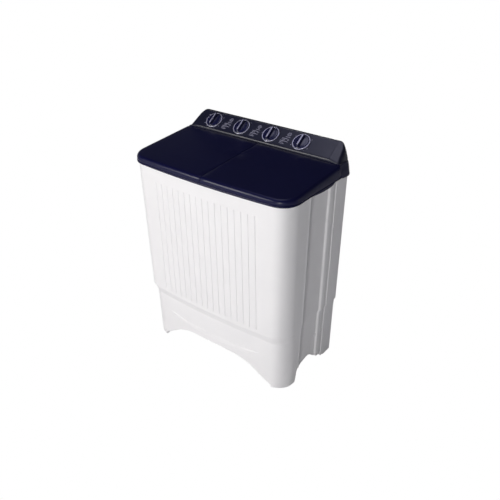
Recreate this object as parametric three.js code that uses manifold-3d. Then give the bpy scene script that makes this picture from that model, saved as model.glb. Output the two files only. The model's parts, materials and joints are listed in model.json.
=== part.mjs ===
// Twin tub washing machine: a wash tub with a pulsator on the left, a spin basket on the right.
// Millimetres, +Z up, front towards -Y. The origin is on the floor, under the middle of the machine.
import * as THREE from 'three';
import { mergeVertices } from 'three/addons/utils/BufferGeometryUtils.js';
import { ConvexGeometry } from 'three/addons/geometries/ConvexGeometry.js';
import Module from 'manifold-3d';

const wasm = await Module();
wasm.setup();

// ---------------------------------------------------------------- driving dimensions
const FAR = 1000;                 // reach of a cutter that runs past everything
const GAP = 0.3;                  // air between two pieces that touch
const WALL = 3;                   // moulded wall
const HALF_WIDTH = 386;           // cabinet half width at its top
const FRONT = -219;               // middle of the bowed front at its top
const REAR = 220;
const BOW = 18.6;                 // how far the middle of the front stands ahead of its ends
const LEAN = 0.019;               // front and sides lean in towards the floor
const FRONT_CORNER = 72.5;
const REAR_CORNER = 25;
const SIDE_RECESS = { rear: 77, front: -59, depth: 5 };
const CABINET = { bottom: 283.5, top: 875 };
const PLINTH = { bottom: 6, floor: 150, step: 243, setback: 16.6, sideStep: 6 };
const LEG = { inner: 300, frontY: -78, rearY: 130 };
const DECK = { overhang: 8, bottom: 871, top: 880, shoulder: 926, shoulderY: 140, sideLean: 0.26 };
const LID = { bottom: 881, rearY: 134.5, slope: 0.075, crown: 5, frontZ: 898.5, seam: 1 };
const HINGE = { y: 115, z: 915.5, rod: 2.3, hole: 2.6, ear: 4.6, swing: 34.8, clearance: 0.8 };
const EARS = [-372, -22, 16, 366];  // left faces of the deck's hinge ears, each 6 wide
const CONSOLE = {
  bottom: DECK.shoulder + GAP, front: 142, ridge: 222, rear: 228, slope: 35, midY: 178.1, midZ: 962,
  crease: 335,                    // past this the slope bends down a little towards the ends
  endFall: 0.213,
};
const FASCIA = { half: 330, low: -41, high: 46, thick: 3 };
const KNOB_X = [-267, -117, 34, 183];
const KNOB = { ring: 38, disc: 32.8, grip: 19, shaft: 4 };
const WASH_TUB = { left: -366, right: -6, front: -196, rear: 128, bottom: 440, top: 875, corner: 60, draft: 12 };
const WASH_MOUTH = { left: -350, right: -18, front: -185, rear: 100, corner: 40 };
const PULSATOR = { x: -186, y: -34, r: 132 };
const SPIN = { x: 191, y: -30, tub: 166, mouth: 125, basket: 138, basketMouth: 112 };
const MOTOR = { x: -36, y: 40 };
const BELT = { z: 300, bigGroove: 100, smallGroove: 25, section: 9 };
const DRAIN = { x: 34, y: 185 };
const FOOT_PLACES = { left: -328, right: 328, front: -124, rear: 180 };

// ---------------------------------------------------------------- solids
// A closed geometry becomes a solid, turned the right way out if it came inside out.
function solid(geometry) {
  const bare = geometry.index ? geometry.toNonIndexed() : geometry.clone();
  bare.deleteAttribute('normal');
  bare.deleteAttribute('uv');
  const merged = mergeVertices(bare, 1e-4);
  const p = merged.attributes.position.array;
  const t = Array.from(merged.index.array);
  const tris = [];
  let volume = 0;
  for (let i = 0; i < t.length; i += 3) {
    const [a, b, c] = [t[i], t[i + 1], t[i + 2]];
    if (a === b || b === c || c === a) continue;
    tris.push(a, b, c);
    const [A, B, C] = [a, b, c].map((k) => new THREE.Vector3().fromArray(p, 3 * k));
    volume += A.dot(B.cross(C));
  }
  if (volume < 0) {
    for (let i = 0; i < tris.length; i += 3) [tris[i], tris[i + 1]] = [tris[i + 1], tris[i]];
  }
  const mesh = new wasm.Mesh({ numProp: 3, vertProperties: Float32Array.from(p), triVerts: Uint32Array.from(tris) });
  return new wasm.Manifold(mesh);
}

const join = (first, ...rest) => rest.reduce((whole, next) => whole.add(next), first);
const cut = (first, ...rest) => rest.reduce((whole, next) => whole.subtract(next), first);
const common = (first, second) => first.intersect(second);

function box(x, y, z) {
  const geometry = new THREE.BoxGeometry(x[1] - x[0], y[1] - y[0], z[1] - z[0]);
  return solid(geometry.translate((x[0] + x[1]) / 2, (y[0] + y[1]) / 2, (z[0] + z[1]) / 2));
}

// A round bar along z, or along another axis after turn(geometry).
function bar(x, y, z, r, segments = 16, turn = null) {
  const geometry = new THREE.CylinderGeometry(r, r, z[1] - z[0], segments).rotateX(Math.PI / 2);
  geometry.translate(0, 0, (z[0] + z[1]) / 2);
  if (turn) turn(geometry);
  return solid(geometry.translate(x, y, 0));
}

// A turned piece about the upright line through (x, y); the profile lists [radius, height].
function turned(x, y, profile, segments = 24) {
  const points = profile.map(([r, z]) => new THREE.Vector2(r, z));
  return solid(new THREE.LatheGeometry(points, segments).rotateX(Math.PI / 2).translate(x, y, 0));
}

function tube(x, y, z, outer, inner, segments = 14) {
  return cut(bar(x, y, z, outer, segments), bar(x, y, [z[0] - 1, z[1] + 1], inner, segments));
}

// A flat outline of [x, y] pushed up from z[0] to z[1].
function plate(points, z, bend = null) {
  const shape = new THREE.Shape(points.map(([x, y]) => new THREE.Vector2(x, y)));
  const geometry = new THREE.ExtrudeGeometry(shape, { depth: z[1] - z[0], bevelEnabled: false }).translate(0, 0, z[0]);
  if (bend) bend(geometry);
  return solid(geometry);
}

// Rings of equal length skinned one above the other, closed by a fan at each end.
function loft(rings) {
  const count = rings[0].length;
  const middle = (ring) => ring.reduce((sum, p) => sum.add(p.clone().divideScalar(count)), new THREE.Vector3());
  const positions = [...rings.flat(), middle(rings[0]), middle(rings[rings.length - 1])];
  const [low, high] = [positions.length - 2, positions.length - 1];
  const index = [];
  for (let i = 0; i < count; i++) {
    const j = (i + 1) % count;
    for (let k = 0; k + 1 < rings.length; k++) {
      const [a, b] = [k * count + i, k * count + j];
      index.push(a, b, b + count, a, b + count, a + count);
    }
    const last = (rings.length - 1) * count;
    index.push(low, j, i, high, last + i, last + j);
  }
  const geometry = new THREE.BufferGeometry().setFromPoints(positions);
  geometry.setIndex(index);
  return solid(geometry);
}

function arc(cx, cy, r, from, to, steps) {
  return Array.from({ length: steps + 1 }, (_, i) => {
    const a = THREE.MathUtils.degToRad(from + ((to - from) * i) / steps);
    return [cx + r * Math.cos(a), cy + r * Math.sin(a)];
  });
}

function roundedRectangle(x, y, r, steps = 4) {
  return [
    ...arc(x[1] - r, y[1] - r, r, 0, 90, steps), ...arc(x[0] + r, y[1] - r, r, 90, 180, steps),
    ...arc(x[0] + r, y[0] + r, r, 180, 270, steps), ...arc(x[1] - r, y[0] + r, r, 270, 360, steps),
  ];
}

// ---------------------------------------------------------------- outline of the machine
// The plan outline at height z: flat rear, leaning sides, bowed front. Inset moves it inwards all round.
function outline(z, { inset = 0, setback = 0, sideStep = 0, rearStep = sideStep / 2, recess = 0 } = {}) {
  const lean = LEAN * (CABINET.top - z);
  const half = HALF_WIDTH - lean - sideStep;
  const front = FRONT + lean + setback;
  const rear = REAR - rearStep;
  const bowRadius = (half * half + BOW * BOW) / (2 * BOW);
  const bowY = front + bowRadius;
  const cornerX = half - FRONT_CORNER;
  const cornerY = bowY - Math.sqrt((bowRadius - FRONT_CORNER) ** 2 - cornerX ** 2);
  const sweep = THREE.MathUtils.radToDeg(Math.atan2(cornerX, bowY - cornerY));
  const { rear: recessRear, front: recessFront } = SIDE_RECESS;
  const side = half - inset;
  const right = [
    ...arc(half - REAR_CORNER, rear - REAR_CORNER, REAR_CORNER - inset, 90, 0, 3),
    [side, recessRear], [side - recess * 0.8, recessRear - 8], [side - recess, (recessRear + recessFront) / 2],
    [side - recess * 0.8, recessFront + 8], [side, recessFront],
    ...arc(cornerX, cornerY, FRONT_CORNER - inset, 0, sweep - 90, 5),
    ...arc(0, bowY, bowRadius - inset, sweep - 90, -90, 4).slice(1),
  ];
  const left = right.slice(0, -1).reverse().map(([x, y]) => [-x, y]);
  return [...right, ...left].map(([x, y]) => new THREE.Vector3(x, y, z));
}

const outlineSolid = (levels) => loft(levels.map(([z, settings]) => outline(z, settings)));

// Height of the closed lids' top surface: it climbs to the rear and is crowned from side to side.
const lidTop = (x, y) => LID.frontZ + LID.slope * (y - FRONT) + LID.crown * (1 - (x / HALF_WIDTH) ** 2);

// ---------------------------------------------------------------- casing
function cabinet() {
  const recess = SIDE_RECESS.depth;
  const skin = outlineSolid([[CABINET.bottom, { recess }], [CABINET.top, { recess }]]);
  const inside = outlineSolid([[CABINET.bottom - 2, { inset: WALL, recess }], [CABINET.top + 2, { inset: WALL, recess }]]);
  const rearOpening = box([-300, 300], [REAR - 10, REAR + 10], [330, 790]);
  return cut(skin, inside, rearOpening);
}

function basePlinth() {
  const { bottom, floor, step, setback, sideStep } = PLINTH;
  const recess = SIDE_RECESS.depth;
  const lipTop = CABINET.bottom - GAP;
  const skin = outlineSolid([
    [bottom, { setback, sideStep, recess }],
    [step, { setback, sideStep, recess }],
    [lipTop, { setback: 1, sideStep: 5, recess }],
  ]);
  const within = (z0, z1) => outlineSolid([
    [z0, { inset: WALL, setback, sideStep, recess }], [z1, { inset: WALL, setback, sideStep, recess }],
  ]);
  const well = within(floor + WALL, lipTop + 5);
  const [rim, sides] = [LEG.inner, FAR];
  const legs = [-1, 1].flatMap((s) => [[-sides, LEG.frontY], [LEG.rearY, sides]].map((y) => (
    box(s > 0 ? [rim, sides] : [-sides, -rim], y, [-5, floor + 1]))));
  const under = cut(within(-5, floor), ...legs);
  const pocket = (s, y) => common(
    within(bottom + WALL, floor + 10),
    box(s > 0 ? [rim + WALL, sides] : [-sides, -rim - WALL], y, [0, floor + 10]),
  );
  const pockets = [-1, 1].flatMap((s) => [
    pocket(s, [-sides, LEG.frontY - WALL]), pocket(s, [LEG.rearY + WALL, sides]),
  ]);
  // bell-shaped arch in the front: it springs at the legs and crowns in the middle
  const bell = (x) => bottom + 102 * Math.exp(-((Math.abs(x) / 260) ** 4.6));
  const bellHalf = Array.from({ length: 13 }, (_, i) => [25 * i, bell(25 * i)]);
  const bellOutline = [...bellHalf.slice(1).reverse().map(([x, z]) => [-x, z]), ...bellHalf, [300, -5], [-300, -5]];
  const frontArch = plate(bellOutline, [0, 140], (g) => g.rotateX(Math.PI / 2).translate(0, -90, 0));
  const rearArch = plate(
    [[-275, -5], [-245, 70], [-205, 108], [205, 108], [245, 70], [275, -5]],
    [0, 110], (g) => g.rotateX(Math.PI / 2).translate(0, REAR + 20, 0),
  );
  const sideOutline = [
    [-84, -5], [-77, 45], [-69, 64], [-45, 64], [-7, 72], [25, 76], [41, 68], [68, 46], [102, 33], [120, 24],
    [138, 12], [156, -5],
  ];
  const sideArch = plate(sideOutline, [0, 2 * HALF_WIDTH + 40], (g) => (
    g.rotateX(Math.PI / 2).rotateZ(Math.PI / 2).translate(-HALF_WIDTH - 20, 0, 0)));
  const drainHole = bar(DRAIN.x, DRAIN.y, [floor - 5, floor + 10], 17.5);
  return cut(skin, well, under, ...pockets, frontArch, rearArch, sideArch, drainHole);
}

function rearPanel() {
  const sheet = box([-318, 318], [REAR + GAP, REAR + GAP + 2.4], [312, 808]);
  const slots = Array.from({ length: 9 }, (_, i) => (
    box([-190, 190], [REAR - 5, REAR + 10], [430 + 22 * i, 438 + 22 * i])));
  const gland = bar(0, 0, [-20, 20], 7.9, 24, (g) => g.rotateX(Math.PI / 2).translate(250, REAR, 360));
  return cut(sheet, ...slots, gland);
}

// Above the deck the two sides of the hood and of the console lean in together; their rear stays upright.
const hoodLevel = (z, inset) => [z, { inset, sideStep: DECK.sideLean * Math.max(0, z - DECK.top), rearStep: 0 }];

function topDeck() {
  const out = -DECK.overhang;
  const { bottom, top, shoulder, shoulderY } = DECK;
  const slab = outlineSolid([[bottom, { inset: out }], [top, { inset: out }]]);
  const underSlab = outlineSolid([[bottom - 5, { inset: out + WALL }], [CABINET.top + GAP, { inset: out + WALL }]]);
  const behind = box([-FAR, FAR], [shoulderY, FAR], [0, FAR]);
  const hood = common(outlineSolid([hoodLevel(top - 1, out), hoodLevel(shoulder, out)]), behind);
  const hoodInside = common(
    outlineSolid([hoodLevel(bottom - 5, out + WALL), hoodLevel(top, out + WALL), hoodLevel(shoulder - WALL, out + WALL)]),
    box([-FAR, FAR], [shoulderY + WALL, FAR], [0, FAR]),
  );
  const { left, right, front, rear, corner } = WASH_MOUTH;
  const washMouth = plate(roundedRectangle([left, right], [front, rear], corner), [bottom - 5, top + 20]);
  const washRim = plate(
    roundedRectangle([left - WALL, right + WALL], [front - WALL, rear + WALL], corner + WALL), [top - 1, top + 6]);
  const spinMouth = bar(SPIN.x, SPIN.y, [bottom - 5, top + 20], SPIN.mouth, 28);
  const spinRim = bar(SPIN.x, SPIN.y, [top - 1, top + 6], SPIN.mouth + WALL, 28);
  const alongX = (g) => g.rotateY(Math.PI / 2).translate(0, HINGE.y, HINGE.z);
  const ears = EARS.map((x) => join(
    box([x, x + 6], [HINGE.y - HINGE.ear, HINGE.y + HINGE.ear], [top - 1, HINGE.z]),
    bar(0, 0, [x, x + 6], HINGE.ear, 12, alongX),
  ));
  const rodHole = bar(0, 0, [-FAR, FAR], HINGE.hole, 12, alongX);
  // both mouth rims are lower at the back, where the heels of the lids swing past
  const rims = cut(join(washRim, spinRim), bar(0, 0, [-FAR, FAR], HINGE.swing + HINGE.clearance, 64, alongX));
  const wiringSlot = box([-320, 320], [168, 205], [shoulder - 20, shoulder + 20]);
  const inletHole = bar(0, 0, [-20, 20], 13.5, 24, (g) => g.rotateX(Math.PI / 2).translate(-300, REAR, 896));
  return cut(join(slab, hood, rims, ...ears), underSlab, hoodInside, washMouth, spinMouth, rodHole,
    wiringSlot, inletHole);
}

// Both lids are cut from one domed shell, which follows the outline of the deck.
function lid(x) {
  const edge = 1 - DECK.overhang;
  const dome = (inset, drop, rings) => loft(rings.map(([ringInset, ringDrop]) => outline(LID.bottom, {
    inset: edge + inset + ringInset,
  }).map((p) => {
    p.z = ringDrop === null ? LID.bottom - (inset ? 2 : 0) : lidTop(p.x, p.y) - ringDrop - drop;
    return p;
  })).concat([0.5].map((k) => outline(LID.bottom, { inset: edge + inset + 12 }).map((p) => {
    const [px, py] = [p.x * k, (p.y - 10) * k + 10];
    return new THREE.Vector3(px, py, lidTop(px, py) - drop);
  }))));
  const rings = [[0, null], [0, 9], [4, 3], [12, 0]];
  const outer = common(dome(0, 0, rings), box(x, [-FAR, LID.rearY], [0, FAR]));
  const inner = common(dome(WALL, WALL, rings), box([x[0] + WALL, x[1] - WALL], [-FAR, LID.rearY - WALL], [0, FAR]));
  const alongX = (g) => g.rotateY(Math.PI / 2).translate(0, HINGE.y, HINGE.z);
  // the heel is cut round so that it swings clear of the deck, and notched where it swings past the ears
  const heelRelief = cut(
    box([-FAR, FAR], [HINGE.y, FAR], [0, HINGE.z]), bar(0, 0, [-FAR, FAR], HINGE.swing, 64, alongX));
  const notches = EARS.map((at) => box([at - 1.5, at + 7.5], [HINGE.y + 8, FAR], [0, HINGE.z + 7]));
  const lugAt = (at) => common(
    dome(0, 1, rings), box([at, at + 6], [HINGE.y - 6, HINGE.y + 6], [HINGE.z - 5, FAR]));
  const ends = x[0] < 0 ? [-380, -14] : [8, 374];
  const rodHole = bar(0, 0, [-FAR, FAR], HINGE.hole, 12, alongX);
  return cut(join(cut(outer, inner, heelRelief, ...notches), ...ends.map(lugAt)), rodHole);
}

function hingeRod(x) {
  return bar(0, 0, x, HINGE.rod, 12, (g) => g.rotateY(Math.PI / 2).translate(0, HINGE.y, HINGE.z));
}

// ---------------------------------------------------------------- console
const slopeAngle = THREE.MathUtils.degToRad(CONSOLE.slope);
const onSlope = (geometry) => geometry.rotateX(slopeAngle).translate(0, CONSOLE.midY, CONSOLE.midZ);

function consoleBlock(inset, drop) {
  const { bottom, front, ridge, rear, midY, midZ, crease, endFall } = CONSOLE;
  const low = bottom - drop;
  const roof = (x, y) => midZ + (y - midY) * Math.tan(slopeAngle) - inset / Math.cos(slopeAngle)
    - endFall * (x - crease);
  const points = [-1, 1].flatMap((side) => [crease, HALF_WIDTH + 20].flatMap((x) => [
    [front + inset, low], [rear - inset, low],
    [front + inset, roof(x, front + inset)], [ridge - inset, roof(x, ridge - inset)],
    [rear - inset, roof(x, ridge - inset) - 4],
  ].map(([y, z]) => new THREE.Vector3(side * x, y, z))));
  const highest = roof(crease, ridge) + 1;
  const sides = outlineSolid([hoodLevel(low, inset - DECK.overhang), hoodLevel(highest, inset - DECK.overhang)]);
  return common(solid(new ConvexGeometry(points)), sides);
}

const REAR_WINDOW = [934, 978];
function consoleHousing() {
  const { half, low, high } = FASCIA;
  const window = solid(onSlope(new THREE.BoxGeometry(2 * half, high - low, 30).translate(0, (high + low) / 2, 0)));
  const rearWindow = box([-300, 300], [CONSOLE.rear - 12, CONSOLE.rear + 12], REAR_WINDOW);
  return cut(consoleBlock(0, 0), consoleBlock(WALL, 10), window, rearWindow);
}

function consoleFascia() {
  const { half, low, high, thick } = FASCIA;
  const sheet = new THREE.BoxGeometry(2 * (half - GAP), high - low - 2 * GAP, thick);
  sheet.translate(0, (high + low) / 2, -thick / 2);
  const holes = KNOB_X.map((x) => solid(onSlope(
    new THREE.CylinderGeometry(5, 5, 30, 12).rotateX(Math.PI / 2).translate(x, 0, 0))));
  return cut(solid(onSlope(sheet)), ...holes);
}

const consoleRearCover = () => box(
  [-300 + GAP, 300 - GAP], [CONSOLE.rear - WALL, CONSOLE.rear - 0.4], [REAR_WINDOW[0] + GAP, REAR_WINDOW[1] - GAP]);

// Knob pieces stand in their own frame: x across, y up the slope, z out of the fascia.
const knobBezel = () => cut(
  turned(0, 0, [[0, GAP], [KNOB.ring, GAP], [KNOB.ring, 3], [KNOB.ring - 1.5, 4.6], [0, 4.6]], 20),
  bar(0, 0, [-1, 6], KNOB.disc + 1, 20),
);

function knob() {
  const { disc, grip, shaft } = KNOB;
  const body = turned(0, 0, [[0, GAP + 0.3], [disc, GAP + 0.3], [disc, 6], [disc - 3, 7.4], [0, 8.2]], 20);
  const handle = loft([[6.5, 30, 7], [5.6, 29, 15], [4.4, 27, grip]].map(([w, l, z]) => (
    roundedRectangle([-w, w], [-l, l], 4, 2).map(([x, y]) => new THREE.Vector3(x, y, z)))));
  return join(body, handle, bar(0, 0, [-18, 2], shaft, 12));
}

const knobInsert = () => plate(roundedRectangle([-2.2, 2.2], [-20, 28], 2, 2), [KNOB.grip + GAP, KNOB.grip + 1.1]);

// A clockwork timer: gear case with a round spindle collar, behind the fascia.
const timer = () => cut(
  join(box([-29, 29], [-24, 20], [-36, -8]), bar(0, 0, [-9, -FASCIA.thick - GAP], 9, 12)),
  bar(0, 0, [-22, 0], KNOB.shaft + GAP + 0.2, 12),
);
const rotarySwitch = () => cut(
  join(box([-20, 20], [-20, 20], [-24, -8]), bar(0, 0, [-9, -FASCIA.thick - GAP], 8, 12)),
  bar(0, 0, [-22, 0], KNOB.shaft + GAP + 0.2, 12),
);
// The drain cam turns with its knob and lifts the pull rod.
const drainCam = () => cut(
  plate([...arc(0, 0, 9, 20, 340, 10), [17, -4], [17, 4]], [-12, -6]),
  bar(0, 0, [-22, 0], KNOB.shaft + GAP + 0.2, 12),
);

// ---------------------------------------------------------------- wash side
function tubSkin(inset, z, floorInset) {
  const { left, right, front, rear, corner, draft } = WASH_TUB;
  const ring = (shift, height) => roundedRectangle(
    [left + inset + shift, right - inset], [front + inset + shift, rear - inset], corner - inset,
  ).map(([x, y]) => new THREE.Vector3(x, y, height));
  return loft([ring(draft + floorInset, z[0]), ring(0, z[1])]);
}

function washTub() {
  const { left, right, front, rear, bottom, top, corner } = WASH_TUB;
  const flange = plate(roundedRectangle([left - 6, right + 6], [front - 6, rear + 6], corner + 6), [top - WALL, top]);
  const neck = bar(PULSATOR.x, PULSATOR.y, [bottom - 5, bottom + 8], 14.5);
  return cut(join(tubSkin(0, [bottom, top], 0), flange), tubSkin(WALL, [bottom + WALL, top + 2], 0), neck);
}

const filterChannelCover = () => cut(
  box([-228, -144], [108, 124.6], [452, 812]), box([-225, -147], [111, 130], [455, 808]));

const lintFilter = () => cut(
  box([-294, -236], [104, 124.6], [640, 800]), box([-291, -239], [107, 130], [643, 797]));

function pulsator() {
  const { x, y, r } = PULSATOR;
  const dish = turned(x, y, [[0, 447], [r - 2, 447], [r, 452], [r - 8, 455], [70, 460], [34, 474], [20, 482], [0, 484]], 32);
  const fins = Array.from({ length: 6 }, (_, i) => {
    const fin = new THREE.BoxGeometry(100, 12, 26).translate(64, 0, 464).rotateZ((i * Math.PI) / 3);
    return common(solid(fin.translate(x, y, 0)), turned(x, y, [[0, 440], [r - 10, 440], [r - 14, 462], [40, 480], [0, 486]], 12));
  });
  return cut(join(dish, ...fins), bar(x, y, [440, 464], 8.5));
}

const pulsatorShaft = () => bar(PULSATOR.x, PULSATOR.y, [286, 462], 8);

const bearingHousing = () => cut(
  turned(PULSATOR.x, PULSATOR.y, [[0, 316], [24, 316], [32, 330], [32, 430], [58, 430], [58, 436], [14, 437], [14, 445], [0, 445]], 20),
  bar(PULSATOR.x, PULSATOR.y, [300, 460], 8.4),
);

function pulley(x, y, groove, bore, hub) {
  const [low, high] = [BELT.z - 8, BELT.z + 8];
  const rim = groove + 5;
  const wheel = turned(x, y, [[0, low], [rim, low], [rim, low + 2], [groove, low + 3], [groove, high - 3], [rim, high - 2],
    [rim, high], [0, high]], 32);
  return cut(join(wheel, bar(x, y, [low - hub, high + hub / 2], Math.min(20, groove - 4))), bar(x, y, [low - 50, high + 50], bore));
}
const drivePulley = () => cut(
  pulley(PULSATOR.x, PULSATOR.y, BELT.bigGroove, 8.3, 6),
  cut(bar(PULSATOR.x, PULSATOR.y, [BELT.z + 3, BELT.z + 20], 88, 28), bar(PULSATOR.x, PULSATOR.y, [0, FAR], 22)),
);
// The small pulley is pinned to the motor's own shaft, and they turn as one piece.
const motorPulley = () => join(
  pulley(MOTOR.x, MOTOR.y, BELT.smallGroove, 3, 6), bar(MOTOR.x, MOTOR.y, [284, 345], 6));

// The belt lies in both grooves, joined by the two outer tangents.
function belt() {
  const [dx, dy] = [MOTOR.x - PULSATOR.x, MOTOR.y - PULSATOR.y];
  const distance = Math.hypot(dx, dy);
  const heading = THREE.MathUtils.radToDeg(Math.atan2(dy, dx));
  const loop = (offset) => {
    const [big, small] = [BELT.bigGroove + offset, BELT.smallGroove + offset];
    const spread = THREE.MathUtils.radToDeg(Math.acos((big - small) / distance));
    return [
      ...arc(PULSATOR.x, PULSATOR.y, big, heading + spread, heading + 360 - spread, 20),
      ...arc(MOTOR.x, MOTOR.y, small, heading - spread, heading + spread, 8),
    ];
  };
  const half = BELT.section / 2;
  return cut(
    plate(loop(0.9 + BELT.section), [BELT.z - half, BELT.z + half]), plate(loop(0.9), [BELT.z - FAR, BELT.z + FAR]));
}

const washMotor = () => cut(
  turned(MOTOR.x, MOTOR.y, [[0, 316], [20, 316], [22, 324], [52, 324], [60, 332], [60, 408], [52, 416], [30, 424], [0, 424]], 20),
  bar(MOTOR.x, MOTOR.y, [300, 350], 6.5),
  bar(MOTOR.x, MOTOR.y, [330, 410], 53, 20),
);

const motorBracket = () => cut(
  plate(roundedRectangle([-262, 34], [-104, 108], 30, 3), [424.5, 427.5]),
  bar(PULSATOR.x, PULSATOR.y, [400, 440], 34),
);

// ---------------------------------------------------------------- spin side
function spinOuterTub() {
  const { x, y, tub } = SPIN;
  const skin = turned(x, y, [[0, 468], [tub - 8, 468], [tub, 872], [tub + 6, 872], [tub + 6, 875], [0, 875]], 32);
  const inside = turned(x, y, [[0, 471], [tub - 11, 471], [tub - WALL, 880], [0, 880]], 32);
  return cut(skin, inside, bar(x, y, [460, 480], 41.5));
}

function spinBasket() {
  const { x, y, basket, basketMouth } = SPIN;
  const skin = turned(x, y, [[0, 500], [basket - 6, 500], [basket, 508], [basket, 830], [basket - 6, 838], [0, 838]], 32);
  const inside = turned(x, y, [[0, 548], [22, 545], [40, 512], [basket - 10, 504], [basket - WALL, 512], [basket - WALL, 800],
    [basketMouth, 812], [basketMouth, 850], [0, 850]], 32);
  return cut(skin, inside, bar(x, y, [490, 524], 9.4));
}

const spinShaft = () => bar(SPIN.x, SPIN.y, [318, 522], 9);
const brakeDrum = () => cut(
  turned(SPIN.x, SPIN.y, [[0, 345], [62, 345], [62, 375], [57, 375], [57, 352], [22, 352], [22, 392], [0, 392]], 24),
  bar(SPIN.x, SPIN.y, [330, 400], 9.3),
);
const spinMotor = () => cut(
  turned(SPIN.x, SPIN.y, [[0, 214], [62, 214], [70, 222], [70, 312], [60, 322], [26, 330], [0, 330]], 20),
  bar(SPIN.x, SPIN.y, [300, 340], 9.6),
  bar(SPIN.x, SPIN.y, [221, 313], 63, 20),
);

// Lever with its pad beside the drum; the wire pulls its tail.
const BRAKE = { x: 266, y: 45, post: 4 };
const brakeLever = () => cut(
  join(
    box([262, 270], [-52, 143], [352, 368]),
    box([258.5, 262.5], [-46, -14], [350, 370]),
    bar(BRAKE.x, BRAKE.y, [352, 368], 9, 14),
  ),
  bar(BRAKE.x, BRAKE.y, [340, 380], BRAKE.post + 0.5, 12),
);
const spinMotorPlatform = () => join(
  plate(roundedRectangle([SPIN.x - 92, SPIN.x + 92], [SPIN.y - 92, SPIN.y + 92], 24, 3), [210, 213.5]),
  bar(BRAKE.x, BRAKE.y, [211, 378], BRAKE.post, 12),
);
const brakeWire = () => bar(BRAKE.x, 150, [368.6, 864], 1.5, 8);

const SPRINGS = [90, 210, 330].map((angle) => {
  const a = THREE.MathUtils.degToRad(angle);
  return [SPIN.x + 72 * Math.cos(a), SPIN.y + 72 * Math.sin(a)];
});
const spinSpring = ([x, y]) => tube(x, y, [PLINTH.floor + WALL + GAP, 210 - GAP], 17, 12);
const spinBellows = () => cut(
  turned(SPIN.x, SPIN.y, [[0, 452], [24, 452], [26, 460], [39.6, 466], [39.6, 474], [26, 480], [0, 480]], 20),
  bar(SPIN.x, SPIN.y, [440, 490], 19),
);
const spinBearing = () => tube(SPIN.x, SPIN.y, [448, 486], 18, 9.8);

// ---------------------------------------------------------------- drain and water
const drainValveBox = () => cut(
  box([DRAIN.x - 28, DRAIN.x + 28], [DRAIN.y - 28, DRAIN.y + 28], [400, 462]),
  bar(DRAIN.x, DRAIN.y, [404, 458], 20),
  bar(DRAIN.x, DRAIN.y, [458 - 2, 470], 4),
  bar(DRAIN.x, DRAIN.y, [390, 406], 12),
);
const drainValveRod = () => join(
  turned(DRAIN.x, DRAIN.y, [[0, 405], [15, 405], [16, 412], [8, 418], [0, 418]], 12),
  bar(DRAIN.x, DRAIN.y, [410, 930], 3, 8),
);
function drainPipe() {
  const bendRadius = 30;
  const [low, end] = [84, CONSOLE.rear - 4];
  const v = (y, z) => new THREE.Vector3(DRAIN.x, y, z);
  const make = (radius, over) => {
    const section = new THREE.Shape(arc(0, 0, radius, 0, 330, 11).map(([x, y]) => new THREE.Vector2(x, y)));
    const route = new THREE.CurvePath();
    const turnZ = low + bendRadius;
    const outY = DRAIN.y + bendRadius;
    route.add(new THREE.LineCurve3(v(DRAIN.y, 399.6 + over), v(DRAIN.y, turnZ)));
    route.add(new THREE.QuadraticBezierCurve3(v(DRAIN.y, turnZ), v(DRAIN.y, low), v(outY, low)));
    route.add(new THREE.LineCurve3(v(outY, low), v(end + over, low)));
    return solid(new THREE.ExtrudeGeometry(section, { steps: 12, bevelEnabled: false, extrudePath: route }));
  };
  return cut(make(15, 0), make(12, 3));
}

const waterInlet = () => {
  const along = (g) => g.rotateX(Math.PI / 2).translate(-300, 0, 896);
  const spout = bar(0, 0, [-227, -198], 12.6, 24, along);
  return cut(join(box([-318, -282], [176, 200], [884, 912]), spout), bar(0, 0, [-240, -182], 9, 20, along));
};

const powerCordGland = () => {
  const along = (g) => g.rotateX(Math.PI / 2).translate(250, 0, 360);
  const flange = bar(0, 0, [-227, -(REAR + 3)], 11, 24, along);
  const bodyBar = bar(0, 0, [-(REAR + 4), -(REAR - 8)], 7.5, 24, along);
  return cut(join(flange, bodyBar), bar(0, 0, [-240, -200], 4, 16, along));
};

const foot = (x, y) => turned(x, y, [[0, 0], [20, 0], [22, 2], [22, PLINTH.bottom - GAP], [0, PLINTH.bottom - GAP]], 16);

// ---------------------------------------------------------------- materials
const finish = (color, roughness, metalness = 0) => new THREE.MeshStandardMaterial({ color, roughness, metalness });
const WHITE = finish(0xe6e6ea, 0.42);
const NAVY = finish(0x0d0f2c, 0.28);
const NAVY_KNOB = finish(0x10123a, 0.3);
const SILVER = finish(0xa6a6b6, 0.32, 0.9);
const GREY_PLASTIC = finish(0x8b9096, 0.5);
const TUB_PLASTIC = finish(0xdfe3e6, 0.4);
const PULSATOR_BLUE = finish(0x3f6fb5, 0.35);
const STEEL = finish(0xb4b7bb, 0.3, 1);
const BLACK_PAINT = finish(0x24262a, 0.45, 0.3);
const RUBBER = finish(0x1b1c1e, 0.85);
const NATURAL = finish(0xd8d5c9, 0.5);

// ---------------------------------------------------------------- assembly
const machine = new THREE.Group();

function place(parent, name, manifold, material) {
  const mesh = manifold.getMesh();
  const geometry = new THREE.BufferGeometry();
  geometry.setAttribute('position', new THREE.BufferAttribute(Float32Array.from(mesh.vertProperties), 3));
  geometry.setIndex(new THREE.BufferAttribute(Uint32Array.from(mesh.triVerts), 1));
  const piece = new THREE.Mesh(geometry, material);
  piece.name = name;
  parent.add(piece);
  return piece;
}

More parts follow.
